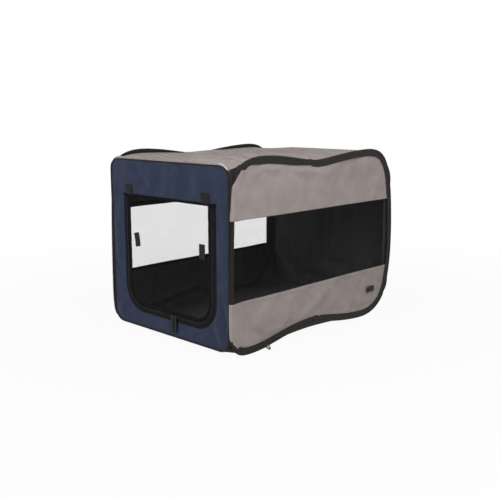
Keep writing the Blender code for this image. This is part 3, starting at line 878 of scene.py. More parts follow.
def filled_wall(name, place, low, high, left, right, low_radius, high_radius, finishes, stand_at,
                growth):
    """A sheet with rounded corners and no opening, in rows."""
    rows, columns = round((high - low) / grid_step), round((right - left) / grid_step)
    step = (1 - np.cos(np.linspace(0, math.pi, rows + 1))) / 2
    z = low + (high - low) * (0.5 * step + 0.5 * np.linspace(0, 1, rows + 1))
    reach = (right - left) / 2
    width = width_at(z, low, high, low_radius, high_radius, reach)
    across = np.linspace(-1, 1, columns + 1)
    x = (left + right) / 2 + width[:, None] * across[None]
    zz = np.repeat(z[:, None], columns + 1, 1)
    from_edge = np.minimum(width[:, None] * (1 - abs(across[None])),
                           np.minimum(zz - low, high - zz))
    ease = np.clip((from_edge - 0.004) / 0.02, 0, 1)
    piece = grid_piece(name, place(x, zz, stand_at(x, zz) * ease), x, zz, finishes)
    soften(piece, (from_edge < 0.006).ravel(), growth, 0.005)
    piece["flat_area"] = float(((width[1:] + width[:-1]) * np.diff(z)).sum())
    return piece


front_cloth = front_wall()
rear_ridges = (
    (-0.15, 0.43, -0.12, 0.10, 0.020, 0.0030), (-0.06, 0.44, -0.07, 0.06, 0.022, -0.0030),
    (0.02, 0.43, 0.05, 0.12, 0.020, 0.0028), (0.12, 0.43, 0.10, 0.05, 0.020, -0.0026),
    (0.16, 0.40, 0.20, 0.20, 0.014, 0.0024), (-0.20, 0.12, -0.10, 0.03, 0.012, 0.0026),
    (0.19, 0.12, 0.09, 0.03, 0.012, 0.0026),
)
rear_low, rear_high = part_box("rear_piping")
rear_cloth = filled_wall(
    "rear_cloth", wall_place(rear_plane), rear_low.z + wall_inset, rear_high.z - wall_inset,
    -wall_reach + wall_inset, wall_reach - wall_inset, 0.073, 0.073, [navy_oxford, coated_back],
    lambda x, z: folds(x, z, rear_ridges), 0.006)

# %% [markdown]
# ## Roof and floor
# The roof is one sheet. It is sewn to both hoops a little below their crest, lies level
# over the end walls, and rounds their corners. At the front it rolls over the piping and
# down to its seam. The pale lip there is a painted highlight: a thin roll of the same cloth
# in a much lighter colour. The floor is the same upside down: flat on the ground, and up the
# sides to the hoops.

# %% Roof and floor
def shoulder(drop, radius, reach, level_steps=44, round_steps=12):
    """A section from the middle to one side, as (x, drop), in evenly counted points."""
    level = [(reach - radius) * k / level_steps for k in range(level_steps)]
    if drop < 0:
        x = np.r_[level, np.linspace(reach - radius, reach, round_steps + 1)]
        return np.column_stack([x, drop * (x / reach) ** 3])
    fall = min(drop, radius)
    angle = np.linspace(0, math.pi / 2, 60)
    bend = np.column_stack([reach - radius + radius * np.sin(angle), fall * (1 - np.cos(angle))])
    bend = np.vstack([bend, [(reach, max(drop, fall + 1e-6))]])
    far = lengths_along(bend)
    curve = points_at(bend, far, np.linspace(0, far[-1], round_steps + 1))
    return np.vstack([np.column_stack([level, np.zeros(level_steps)]), curve])


roof_box, floor_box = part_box("roof_panel"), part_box("floor_panel")
wall_top = wall_high.z
dip = run_height(-0.045, True)


def between_sides(upper, radii):
    """The roof or the floor as a grid between the two hoops: its points, normals and stations."""
    low, high = roof_box if upper else floor_box
    first, last = low.y, high.y
    reach = high.x - cloth_thickness / 2
    sign = -1 if upper else 1
    rows = round((last - first) / grid_step)
    stations = first + (last - first) * np.linspace(0, 1, rows + 1)
    sections = []
    for y in stations:
        edge = float(run_height(y, upper))
        if upper:
            level = wall_top - 0.0008
            edge -= 0.003 + 0.008 * max(edge - dip, 0) / (hoop[:, 1].max() - dip)
        else:
            level = 0.0009 + 0.010 * (max(abs(y) - 0.22, 0) / (rear_plane - 0.22)) ** 2
            # at the steep rear corner the edge lies deeper, so that the tape still covers it
            edge += 0.004 + 0.014 * float(np.clip((y - 0.24) / 0.05, 0, 1))
        share = (y - first) / (last - first)
        half = shoulder(sign * (edge - level), radii[0] + (radii[1] - radii[0]) * share, reach)
        across = np.vstack([half[:0:-1] * (-1, 1), half])
        sections.append(np.column_stack([across[:, 0], np.full(len(across), y),
                                         level + sign * across[:, 1]]))
    points = np.array(sections)
    along_x = np.gradient(points, axis=1)
    normal = np.cross(along_x, np.gradient(points, axis=0))
    normal *= np.sign(normal[..., 2:3] * (1 if upper else -1) + 1e-9)
    normal /= np.linalg.norm(normal, axis=-1, keepdims=True)
    return points, normal, stations


roof_ridges = (
    (-0.17, -0.26, -0.10, -0.05, 0.016, 0.0030), (-0.08, -0.29, -0.04, 0.02, 0.020, -0.0026),
    (0.02, -0.29, 0.01, -0.02, 0.018, 0.0030), (0.10, -0.28, 0.06, 0.00, 0.018, -0.0028),
    (0.17, -0.29, 0.12, -0.08, 0.014, 0.0030), (-0.14, 0.02, -0.10, 0.26, 0.024, 0.0030),
    (-0.02, 0.05, -0.03, 0.28, 0.024, -0.0030), (0.08, 0.03, 0.10, 0.28, 0.020, 0.0030),
    (0.16, 0.0, 0.17, 0.22, 0.016, -0.0026), (-0.18, -0.08, 0.17, -0.04, 0.016, 0.0022),
    (-0.16, 0.12, 0.16, 0.15, 0.016, -0.0022),
)
# Fine creases, left by the folding, run from side to side, a little askew
creases = tuple(
    (0.20 - 0.05 * (k % 3), y, -0.06 - 0.04 * (k % 4), y + 0.015 + 0.012 * (k % 3),
     0.0050 + 0.0012 * (k % 2), 0.0018 * (-1) ** k)
    for k, y in enumerate(np.linspace(-0.29, 0.22, 27)))
roof_slack = ((-0.175, 0.045, 0.005, 0.095, 0.0064), (-0.120, 0.060, -0.200, 0.060, -0.0090))


def roof():
    """The roof's cloth, with its folds, its slack and its turned front edge."""
    points, normal, stations = between_sides(True, (front_radii[1], rear_radii[1]))
    rows, columns = points.shape[:2]
    x, y = points[..., 0], points[..., 1]
    from_end = np.minimum(y - stations[0], stations[-1] - y)
    from_side = np.minimum(np.arange(columns), np.arange(columns)[::-1])[None] * 0.004
    ease = np.clip(from_end / 0.02, 0, 1) * np.clip(from_side / 0.02, 0, 1)
    stand = folds(x, y, roof_ridges + creases) * ease
    # Slack: beside the far hoop's dip and along the rear wall the roof stands up a little, and
    # it sags at the front left
    slack = sum(height * np.exp(-(((x - x0) / reach_x) ** 2) - ((y - y0) / reach_y) ** 2)
                for x0, reach_x, y0, reach_y, height in roof_slack)
    slack = slack + 0.0050 * np.clip((y - 0.12) / 0.16, 0, 1) * np.clip((0.20 - abs(x)) / 0.06, 0, 1)
    stand = stand + slack
    # The front edge: up over the piping in a soft roll, then forward and down to the seam
    lip = stations[0] + 0.012 - y
    roll = np.clip(lip / 0.012, 0, 1)
    lip_height = 0.0010 + 0.0028 * np.clip(normal[..., 2], 0, 1) ** 2
    stand = stand + lip_height * np.sin(math.pi / 2 * roll) ** 2
    points = points + normal * stand[..., None]
    ends = []
    share = (lip_height[0] / 0.0038)[:, None]
    for forward, down in ((0.0018, 0.0003), (0.0034, 0.0014), (0.0042, 0.0032), (0.0040, 0.0054)):
        ends.append(points[0] - np.array([0, forward, 0]) * share ** 0.5 - normal[0] * down * share)
    points = np.concatenate([np.array(ends[::-1]), points])
    stations = np.r_[stations[0] - 0.0015 * np.arange(4, 0, -1), stations]
    columns_at = lengths_along(points[rows // 2])
    piece = grid_piece("roof_cloth", points, stations, columns_at,
                       [crease_shaded_oxford, coated_back], flip=True)
    count, column = np.indices(points.shape[:2])
    sewn = (count < 7) | (count > points.shape[0] - 3) | (column < 3) | (column > columns - 4)
    soften(piece, sewn.ravel(), 0.004, 0.0004)
    piece["flat_area"] = float(columns_at[-1] * (stations[-1] - stations[0]))
    piece["columns"] = columns
    return piece


def floor():
    """The floor's cloth, flat on the ground and up the sides to the hoops."""
    points, _, stations = between_sides(False, (front_radii[0], rear_radii[0]))
    columns_at = lengths_along(points[len(points) // 2])
    piece = grid_piece("floor_cloth", points, stations, columns_at, [dark_oxford, coated_back])
    piece["flat_area"] = float(columns_at[-1] * (stations[-1] - stations[0]))
    return piece


roof_cloth, floor_cloth = roof(), floor()

# %% [markdown]
# ## Letting the cloth settle
# All sheets but the floor are simulated together for a few frames. The cloth is cut a little
# larger than its place, its sewn edges are held, and gravity is off, since the frame holds it
# taut. A cap keeps each point near its place. The result is written into the mesh, and the
# simulation is removed.

# %% Cloth simulation
def settle(sheets, frames=22):
    scene = bpy.context.scene
    before = {}
    for piece, growth, reach in sheets:
        before[piece] = np.array([v.co for v in piece.data.vertices])
        modifier = piece.modifiers.new("settle", "CLOTH")
        cloth = modifier.settings
        cloth.quality = 6
        cloth.mass = 0.25
        cloth.tension_stiffness = cloth.compression_stiffness = 20
        cloth.shear_stiffness = 6
        cloth.bending_stiffness = 0.6
        cloth.vertex_group_mass = "sewn"
        cloth.shrink_min = -growth
        cloth.effector_weights.gravity = 0
        modifier.point_cache.frame_start = 1
        modifier.point_cache.frame_end = frames
    for step in range(1, frames + 1):
        scene.frame_set(step)
    depsgraph = bpy.context.evaluated_depsgraph_get()
    for piece, growth, reach in sheets:
        after = piece.evaluated_get(depsgraph).data
        moved = np.array([v.co for v in after.vertices]) - before[piece]
        far = np.linalg.norm(moved, axis=1, keepdims=True)
        # near the cap the move levels off, so that no flat spot shows
        moved *= reach * np.tanh(far / reach) / np.maximum(far, 1e-9)
        piece.modifiers.remove(piece.modifiers["settle"])
        piece.data.vertices.foreach_set("co", (before[piece] + moved).astype(np.float32).ravel())
        piece.data.update()
        print(piece.name, "moved", round(float(far.max()) * 1000, 2), "mm, kept",
              round(float(np.linalg.norm(moved, axis=1).max()) * 1000, 2))
    scene.frame_set(1)


settle(soft_sheets)

# %% [markdown]
# ## Thickness, and hanging the sheets on their bodies
# Only now does each sheet get one smoothing subdivision and its real thickness, 0.6 mm. The
# net stays a single layer, as thin as its threads look. The area each sheet was cut to was
# stored with it, as flat_area, where it was made.

# %% Finish the sheets
def smooth(piece):
    finer = piece.modifiers.new("smooth", "SUBSURF")
    finer.levels = finer.render_levels = 1
    finer.boundary_smooth = "PRESERVE_CORNERS"
    return piece


wall_height = wall_high.z - wall_low.z
for (side, part), piece in side_parts.items():
    low, high = side_bands[part]
    smooth(piece)
    if part != "window":
        thicken(piece, cloth_thickness, True)
    dress(piece, f"{side}_side",
          [f"{side}_{part}"])
for piece, node, slot, width, length in (
    (front_cloth, "front_panel", "navy_cloth", 2 * wall_reach, wall_height),
    (rear_cloth, "rear_panel", "navy_cloth", 2 * wall_reach, wall_height),
    (roof_cloth, "roof_panel", "grey_cloth", 0.54, rear_plane - front_plane),
    (floor_cloth, "floor_panel", "dark_cloth", 0.56, rear_plane - front_plane),
):
    smooth(piece)
    thicken(piece, cloth_thickness, True)
    dress(piece, "shell", [node])

# %% [markdown]
# ## Hems beside the windows
# The cloth above and below each net is turned over once, 9 mm wide, with the net caught in
# the fold, and sewn with two rows. A hem has to lie on the cloth as it came out of the
# simulation, so each of its points is found by a ray cast at the side wall.

# %% Window hems
def surface(piece):
    """A tree that finds points on a finished piece."""
    shown = piece.evaluated_get(bpy.context.evaluated_depsgraph_get())
    mesh = shown.to_mesh()
    tree = BVHTree.FromPolygons([v.co for v in mesh.vertices],
                                [tuple(p.vertices) for p in mesh.polygons])
    shown.to_mesh_clear()
    return tree


def on_surface(tree, starts, direction, lift=0.0):
    """Where rays from starts meet a surface, moved back by lift."""
    places = []
    way = Vector(direction)
    for start in starts:
        hit, normal, _, _ = tree.ray_cast(Vector(start) - way * 0.1, way)
        if hit is not None:
            facing = normal if normal.dot(way) < 0 else -normal
            places.append(hit + facing * lift)
    return np.array(places)


def hem(side, turn, part, edge, way):
    """A turned hem along a window's edge, above it or below, and its two rows of stitches."""
    tree = surface(side_parts[side, part])
    steps = np.array([-0.0004, 0.0, 0.0008, 0.0028, 0.0050, 0.0072, 0.0084, 0.0090, 0.0092])
    rise = np.array([-0.0006, 0.0004, 0.0007, 0.00075, 0.0007, 0.00075, 0.0006, 0.0003, -0.0002])
    rear_end = hoop[(abs(hoop[:, 1] - edge) < 0.02) & (hoop[:, 0] > 0), 0].mean()
    low, high = float(hoop_front(edge)) - 0.0005, rear_end - 0.016
    y = np.linspace(low, high, round((high - low) / 0.003))
    rows = []
    for step, lift in zip(steps, rise):
        z = edge + way * max(step, 0.0003)
        starts = [(turn * side_plane, a, z) for a in y]
        places = on_surface(tree, starts, (-turn, 0, 0))
        places[:, 2] = edge + way * step
        places[:, 0] += turn * lift
        rows.append(places)
    points = np.array(rows).transpose(1, 0, 2)
    strip = grid_piece(f"{side}_{part}_hem", points, y, steps * way, [grey_oxford],
                       flip=(turn * way) > 0)
    dress(strip, f"{side}_side")
    seams = []
    for k in (2, 6):
        line = points[:, k] + np.array([turn * 0.0002, 0, 0])
        seams.append(stitches(f"hem{k}", line, (turn, 0.0, 0.0), grey_thread))
    dress(joined(f"{side}_{part}_hem_stitches", seams), f"{side}_side")


for side, turn in sides:
    hem(side, turn, "lower_panel", window.bottom, -1)
    hem(side, turn, "upper_panel", window.top, 1)

# %% [markdown]
# ## Piping and edge wires
# Each end wall has a thin spring wire in a narrow folded tape all round, which keeps the
# wall flat and gives it the crisp black outline. The tape is the same fold as on the hoops,
# a third as wide.

# %% Piping
def small_puckers(run, depth, side):
    wave = np.sin(2 * math.pi * run.at[:, None] / 0.004 + 1.5 * np.sin(run.at[:, None] * 150))
    return sides_only(side) * 0.00016 * wave * np.clip(depth / 0.006, 0, 1)


def round_section(radius, depth, out):
    """A round section with its middle at (depth, out)."""
    angles = np.linspace(0, 2 * math.pi, 9)[:-1]
    return np.column_stack([depth + radius * np.cos(angles), out + radius * np.sin(angles)])


pipe_crest, pipe_leg, pipe_depth, pipe_seam = 0.0019, 0.0012, 0.0058, 0.0047
for end, plane, radii in (("front", front_plane, front_radii), ("rear", rear_plane, rear_radii)):
    outline, place = wall_outline(radii), wall_place(plane)
    run = along_run(outline, 0.0016, closed=True)
    piping = sweep(f"{end}_piping_tape", run, fold_section(pipe_crest, pipe_leg, pipe_depth, 7, 3),
                   place, [binding_weave], small_puckers, flip=plane < 0)
    thicken(piping, 0.0005)
    dress(piping, "shell", [f"{end}_piping"])
    wire = sweep(f"{end}_spring_wire", along_run(outline, 0.004, closed=True),
                 round_section(0.001, pipe_crest, 0.0), place, [spring_steel],
                 close_section=True, flip=plane > 0)
    dress(wire, "shell", [f"{end}_edge_wire"])
    line = run.place + pipe_seam * run.left
    row = stitches(f"{end}_piping_stitches", place(line[:, 0], line[:, 1], 0.00135),
                   (0.0, math.copysign(1, plane), 0.0), black_thread)
    dress(row, "shell")

# %% [markdown]
# ## Corner strips and window facings
# Between the edge of each end wall and the tape of each hoop runs a strip of cloth, which
# closes the corner. Inside the left wall a black facing tape covers the raw edges of the
# net above and below the window.

# %% Corner strips and facings
for end, plane in (("front", front_plane), ("rear", rear_plane)):
    inward_way = -math.copysign(1, plane)
    for side, turn in sides:
        deep = {"front": 0.009, "rear": 0.038 if side == "left" else 0.028}[end]
        straight = (0.055, 0.385) if end == "front" else (0.090, 0.365)
        z = np.linspace(*straight, 67)
        reach = np.linspace(0.0022, deep, 7)
        zz, rr = np.meshgrid(z, reach, indexing="ij")
        stand = 0.0004 * np.sin(zz * 90 + 1.1 * turn) * np.clip(rr / 0.02, 0, 1)
        points = np.stack([turn * (wall_reach - 0.0012 - abs(stand)), plane + inward_way * rr, zz], -1)
        strip = grid_piece(f"{end}_{side}_corner_strip", points, z, reach, [coated_back],
                           flip=(turn * inward_way) > 0)
        thicken(strip, cloth_thickness, offset=0)
        dress(strip, "shell")
for edge, high_edge, name in ((window.bottom, window.bottom + 0.0095, "lower"),
                              (window.top - 0.0135, window.top, "upper")):
    tree = surface(side_parts["left", "window"])
    y = np.linspace(-0.300, 0.296, 150)
    z = np.linspace(edge, high_edge, 5)
    rows = []
    for height in z:
        starts = [(-side_plane, a, min(max(height, window.bottom + 0.0005), window.top - 0.0005))
                  for a in y]
        places = on_surface(tree, starts, (-1, 0, 0))
        places[:, 0] += 0.0007
        places[:, 2] = height
        rows.append(places)
    facing = grid_piece(f"left_{name}_facing_tape", np.array(rows).transpose(1, 0, 2), y, z,
                        [zip_weave], flip=True)
    thicken(facing, 0.0005, offset=0)
    dress(facing, "left_side")

# %% [markdown]
# ## Corner tapes
# At each front corner the pale roof stops short of the window's height. A black tape goes on
# from there, over the cloth's edge and down between the piping and the hoop.

# %% Corner tapes
corner_tape_top = 0.434
tape_rise, tape_top_limit = 0.30, 0.4445  # how its top climbs to the rear, and where it stops
tape_rear_end, tape_least = -0.272, 1.6  # where it ends, and the fewest points it is wide
roof_lines = np.array([v.co for v in roof_cloth.data.vertices])
roof_lines = roof_lines.reshape(-1, roof_cloth["columns"], 3)
shoulder_points = np.arange(14)
for side, turn in sides:
    rows = []
    for line in roof_lines[:, ::-turn]:
        if line[0, 1] > tape_rear_end:
            break
        top = corner_tape_top + tape_rise * max(line[0, 1] - front_plane, 0)
        far = np.interp(min(top, tape_top_limit), line[shoulder_points, 2], shoulder_points)
        at = np.linspace(0, max(far, tape_least), 9)
        rows.append(points_at(line[shoulder_points], shoulder_points, at))
    points = np.array(rows) + (turn * 0.0012, -0.0008, 0)
    u = points[:, 0, 1]
    v = np.linspace(0, corner_tape_top - points[0, 0, 2], 9)
    tape = grid_piece(f"{side}_corner_tape", points, u, v, [binding_weave], flip=turn > 0)
    thicken(tape, cloth_thickness, offset=0)
    dress(tape, "shell")
    print(side, "corner tape rows", len(rows), "from z", round(float(points[0, 0, 2]), 3))

# The roof's front edge is turned under in a thin roll, on top of the piping. The roll's pale
# colour is a painted highlight
outline = np.array(wall_outline(front_radii))
roll_start = -0.182  # the roll's left end, where the left corner tape begins
roll_run = along_run(outline[(outline[:, 1] > corner_tape_top) & (outline[:, 0] > roll_start)], 0.002)
roll = sweep("roof_edge_highlight_roll", roll_run, round_section(0.0017, -0.0010, 0.0010), front_place,
             [highlight_painted_edge], close_section=True)
dress(roll, "shell")

# %% [markdown]
# ## The zip
# A coil zip is two woven tapes, each with a nylon spiral sewn along its edge. The frame half
# is sewn round the opening, under a turned hem of the wall's cloth, and the other half round
# the net. The frame's tape is a little greyer. The spiral is modelled as a real helix,
# 1.8 mm to a turn.

# %% Zip tapes and coils
zip_width = 0.0127
tape_top = opening.top - room


def zip_band(name, low, high, finish, body, node, tucked):
    """One tape of the zip, as a ribbon from inset low to inset high. The frame's tape is tucked
    in under the wall's hem, and the door's goes on a little under the net."""
    run = opening_run(low, tape_top, 0.004)
    depth = np.linspace(low, high, 8) - low
    out = np.full(8, 0.0002)
    ripple = 0.00025
    if tucked:
        depth, out = np.r_[-0.003, -0.0008, depth[1:]], np.r_[-0.0020, -0.0016, out[1:]]
    else:
        depth[-1] = high - low + 0.0008

    def swell(run, depth, side):
        return ripple * np.sin(run.at[:, None] * 190 + depth * 200) * (depth > 0)

    band = sweep(name, run, np.column_stack([depth, out]), front_place, [finish],
                 swell, flip=True)
    thicken(band, 0.0008, offset=0)
    dress(band, body, [node])


def zip_coil(name, inset, body, node, turn):
    """A nylon spiral along the opening, at a given inset."""
    pitch, coil_radius, strand = 0.0018, 0.0006, 0.0003
    run = opening_run(inset, tape_top - 0.008, pitch / 8)
    angle = turn * 2 * math.pi * run.at / pitch
    centre = front_place(run.place[:, 0], run.place[:, 1], 0.0016)
    left = np.column_stack([run.left[:, 0], np.zeros(len(run.at)), run.left[:, 1]])
    out = np.array([0.0, -1.0, 0.0])
    spoke = left * np.cos(angle)[:, None] * 1.25 + out * np.sin(angle)[:, None]
    line = centre + coil_radius * spoke
    way = np.gradient(line, axis=0)
    way /= np.linalg.norm(way, axis=1)[:, None]
    spoke -= way * (spoke * way).sum(1)[:, None]
    spoke /= np.linalg.norm(spoke, axis=1)[:, None]
    third = np.cross(way, spoke)
    turns = np.linspace(0, 2 * math.pi, 6)[:-1]
    points = (line[:, None] + strand * (spoke[:, None] * np.cos(turns)[None, :, None]
                                        + third[:, None] * np.sin(turns)[None, :, None]))
    around = np.arange(6) * strand
    piece = grid_piece(name, points, run.at, around, [black_nylon], round_v=True)
    dress(piece, body, [node])


zip_band("frame_zip_tape", room, zip_width, zip_weave_grey, "shell", "zip_tape_frame", True)
zip_band("door_zip_tape", zip_width + 2 * room, 2 * zip_width + room, zip_weave, "door",
         "zip_tape_door", False)
coil_gap = 0.0011
zip_coil("frame_zip_coil", zip_width + room - coil_gap, "shell", "zip_coil_frame", 1)
zip_coil("door_zip_coil", zip_width + room + coil_gap, "door", "zip_coil_door", -1)


net_inset = 2 * zip_width - 0.003  # where the net begins, and where its seam runs
for name, inset, body in (
    ("frame_zip_stitches", 0.0045, "shell"),
    ("frame_coil_stitches", zip_width - 0.0028, "shell"),
    ("door_coil_stitches", zip_width + 0.0032, "door"),
    ("door_zip_stitches", net_inset, "door"),
):
    run = opening_run(inset, tape_top, 0.003)
    places = front_place(run.place[:, 0], run.place[:, 1], 0.0008)
    dress(stitches(name, places, forward, black_thread), body)

# %% [markdown]
# ## Seams at the top of the opening
# A strip of black tape covers the seam between the door's net and the wall. Level with it,
# a seam runs to each side of the wall, where its upper cloth is sewn to the bands beside the
# opening.

# %% Seams at the top of the opening
x = np.linspace(opening.left - 0.001, opening.right + 0.001, 60)
z = opening.top + np.array([-0.0045, -0.0030, -0.0010, 0.0010, 0.0020])
xx, zz = np.meshgrid(x, z, indexing="ij")
out = 0.0014 + 0.0002 * np.sin(90 * xx)
top_tape = grid_piece("opening_top_tape", front_place(xx, zz, out), x, z,
                      [zip_weave], flip=False)
thicken(top_tape, 0.0006, offset=0)
dress(top_tape, "shell")
for name, start, end in (("left", -wall_reach + 0.008, opening.left - 0.003),
                         ("right", opening.right + 0.003, wall_reach - 0.008)):
    tree = surface(front_cloth)
    x = np.linspace(start, end, 14)
    rows = [on_surface(tree, [(a, front_plane, opening.top + step) for a in x], (0, 1, 0), lift)
            for step, lift in ((-0.0022, -0.0003), (-0.0014, 0.0007), (0.0014, 0.0007), (0.0022, -0.0003))]
    seam = grid_piece(f"front_{name}_seam", np.array(rows).transpose(1, 0, 2), x,
                      np.array([0, 0.001, 0.004, 0.005]), [navy_oxford])
    dress(seam, "shell")
    line = np.array(rows)[1] + (0, -0.0003, 0)
    dress(stitches(f"front_{name}_seam_stitches", line, forward, black_thread), "shell")

# %% [markdown]
# ## The door
# The door is a sheet of net sewn to its half of the zip. Its top edge is sewn to the wall
# with a strip of tape, and it turns about that seam. The sheet is built in rows that follow
# the opening's rounded lower corners.

# %% Door net
door_ridges = (
    (-0.13, 0.34, -0.08, 0.12, 0.030, 0.0020), (-0.03, 0.34, 0.02, 0.09, 0.028, -0.0020),
    (0.06, 0.34, 0.10, 0.11, 0.026, 0.0018), (-0.12, 0.13, 0.10, 0.10, 0.018, 0.0012),
)
door_net = filled_wall(
    "door_net_sheet", front_place, opening.bottom + net_inset, tape_top,
    opening.left + net_inset, opening.right - net_inset, opening.corner - net_inset, 1e-6,
    [black_net], lambda x, z: folds(x, z, door_ridges) - 0.0006, 0.002)
smooth(door_net)
dress(door_net, "door", ["door_net"])

# %% [markdown]
# ## Straps and tabs
# Two hook-and-loop straps above the opening hold the rolled door, and two tabs on the net
# meet them. Each is a short length of webbing: a thin block with round edges, sewn at one
# end with a box of stitches. They are built as a small grid so that they can sag a little.

# %% Straps, tabs, pulls and label
def webbing_piece(name, centre, width, length, thickness, tilt, place, finish, curl, flip=False,
                  lies_on=None):
    """A length of webbing on a wall: (a, b) centre, its size, its tilt and how it curls out."""
    across = np.linspace(-0.5, 0.5, 9) * width
    along = np.linspace(-0.5, 0.5, 13) * length
    u, v = np.meshgrid(across, along, indexing="ij")
    out = curl(u / width, v / length)
    turn = np.array([[math.cos(tilt), -math.sin(tilt)], [math.sin(tilt), math.cos(tilt)]])
    a = centre[0] + turn[0, 0] * u + turn[0, 1] * v
    b = centre[1] + turn[1, 0] * u + turn[1, 1] * v
    points = place(a, b, out)
    if lies_on is not None:
        starts = points.reshape(-1, 3)
        found = on_surface(surface(lies_on), starts, (0, 1, 0))
        if len(found) == len(starts):
            points[..., 1] = found[:, 1].reshape(a.shape) - 0.0004 - out
    piece = grid_piece(name, points, u, v, [finish], flip=flip)
    thicken(piece, thickness, offset=1.0)
    edge = piece.modifiers.new("round edges", "BEVEL")
    edge.width, edge.segments, edge.limit_method = thickness * 0.4, 2, "ANGLE"
    edge.angle_limit = math.radians(50)
    return piece


def box_of_stitches(name, centre, width, height, tilt, place, out, normal, finish):
    """A rectangle of stitches."""
    turn = np.array([[math.cos(tilt), -math.sin(tilt)], [math.sin(tilt), math.cos(tilt)]])
    corners = np.array([(-1, -1), (1, -1), (1, 1), (-1, 1), (-1, -1)]) * (width / 2, height / 2)
    corners = corners @ turn.T + centre
    places = place(corners[:, 0], corners[:, 1], out)
    return stitches(name, places, normal, finish, pitch=0.0026)


for side, tilt in (("left", math.radians(12)), ("right", 0.0)):
    low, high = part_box(f"door_tab_{side}")
    centre = ((low.x + high.x) / 2, (low.z + high.z) / 2)
    tab = webbing_piece(f"{side}_door_tab_webbing", centre, 0.020, 0.036, 0.0012, tilt,
                        front_place, strap_weave,
                        lambda u, v: 0.0012 + 0.0012 * np.clip(-v, 0, 1) ** 2 * 4, True)
    dress(tab, "door", [f"door_tab_{side}"])
    seam = box_of_stitches(f"{side}_door_tab_stitches", (centre[0], centre[1] + 0.010), 0.014, 0.011,
                           tilt, front_place, 0.0026, forward, black_thread)
    dress(seam, "door")
for side in ("left", "right"):
    low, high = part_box(f"door_strap_{side}")
    centre = ((low.x + high.x) / 2, (low.z + high.z) / 2)
    length = high.z - low.z
    strap = webbing_piece(f"{side}_strap_webbing", centre, high.x - low.x, length, 0.0012, 0.0,
                          front_place, strap_weave,
                          lambda u, v: 0.0018 * np.clip(0.5 - v, 0, 1) ** 2, True, front_cloth)
    dress(strap, f"strap_{side}", [f"door_strap_{side}"])
    face = front_plane - np.array([v.co.y for v in strap.data.vertices]).min() + 0.0013
    seam = box_of_stitches(f"{side}_strap_stitches", (centre[0], high.z - 0.006), 0.022, 0.007,
                           0.0, front_place, face, forward, black_thread)
    dress(seam, f"strap_{side}")
for side in ("left", "right"):
    low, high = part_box(f"zip_pull_{side}")
    middle_x, width = (low.x + high.x) / 2, high.x - low.x
    eye_y = low.y + (high.y - low.y) / 2
    eye_z = high.z - (high.y - low.y) / 2
    angle = np.linspace(math.radians(-80), math.radians(260), 20)
    eye = [(eye_z + 0.00135 * math.sin(a), eye_y + 0.00135 * math.cos(a)) for a in angle]
    tail = np.linspace(eye[0][0] - 0.002, low.z, 14)
    line = [(z, eye_y - 0.0005 + 0.0012 * ((eye_z - z) / 0.04) ** 2) for z in tail[::-1]]
    back = [(z, eye_y + 0.0005 + 0.0012 * ((eye_z - z) / 0.04) ** 2) for z in tail]
    strip = np.array(line + eye[::-1] + back)
    x = middle_x + np.linspace(-0.5, 0.5, 5) * width
    points = np.stack([np.repeat(x[None], len(strip), 0), np.repeat(strip[:, 1:2], 5, 1),
                       np.repeat(strip[:, :1], 5, 1)], -1)
    pull = grid_piece(f"{side}_pull_webbing", points, lengths_along(strip), x, [strap_weave])
    thicken(pull, 0.0007, offset=0)
    dress(pull, f"pull_{side}", [f"zip_pull_{side}"])
    polish = nodes[f"zip_slider_{side}"].modifiers.new("round edges", "BEVEL")
    polish.width, polish.segments = 0.00025, 2

label_low, label_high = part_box("label_patch")
label_centre = ((label_low.y + label_high.y) / 2, (label_low.z + label_high.z) / 2)
label_width, label_height = label_high.y - label_low.y, label_high.z - label_low.z
label = webbing_piece("label_patch_cloth", label_centre, label_width, label_height, 0.0006, 0.0,
                      side_place(1), strap_weave,
                      lambda u, v: 0.0013 + 0.0003 * np.cos(math.pi * u) * np.cos(math.pi * v))
dress(label, "right_side", ["label_patch"])
seam = box_of_stitches("label_stitches", label_centre, label_width - 0.003, label_height - 0.003,
                       0.0, side_place(1), 0.0020, [1.0, 0.0, 0.0], black_thread)
dress(seam, "right_side")

# %% [markdown]
# ## The stow loop
# A short loop of narrow grey webbing under the right side holds the crate shut when it is
# packed. Both ends are sewn under the tape, and the loop droops a little between them.

# %% Stow loop
stow_low, stow_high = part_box("stow_loop")
loop_line = rounded(stow_low.x, stow_high.x, stow_low.z, stow_high.z, 0.0026, 0.0026, 8)
loop_run = along_run(loop_line, 0.0008, closed=True)
across = np.linspace(-0.5, 0.5, 7) * 0.0042
middle_y = (stow_low.y + stow_high.y) / 2
reach = np.clip((loop_run.place[:, 0] - stow_low.x) / (stow_high.x - stow_low.x), 0, 1)
droop = loop_run.place[:, 1] - 0.0024 * reach**1.5
points = np.stack([np.repeat(loop_run.place[:, :1], 7, 1),
                   middle_y - 0.0015 * reach[:, None] + np.repeat(across[None], len(reach), 0),
                   np.repeat(droop[:, None], 7, 1)], -1)
stow = grid_piece("stow_loop_webbing", points, np.r_[loop_run.at, loop_run.length], across,
                  [grey_webbing], round_u=True, flip=True)
thicken(stow, 0.0013)
dress(stow, "stow", ["stow_loop"])

# %% [markdown]
# ## Floor, backdrop and light
# The photograph has a plain white ground. The floor and the world look white to the camera,
# and to reflections, but light the crate at a plain level. The floor is part real surface,
# so it still takes the crate's shadow. A broad lamp in front and above, a weaker one
# from the right, and an even sky give soft shading.

# %% Stage
def sees_white(tree):
    """1 for rays from the camera, from gloss and through glass, else 0."""
    path = add(tree, "LightPath").outputs
    seen = add(tree, "Math", {"operation": "MAXIMUM"},
               {0: path["Is Camera Ray"], 1: path["Is Glossy Ray"]}).outputs[0]
    return add(tree, "Math", {"operation": "MAXIMUM"},
               {0: seen, 1: path["Is Transmission Ray"]}).outputs[0]


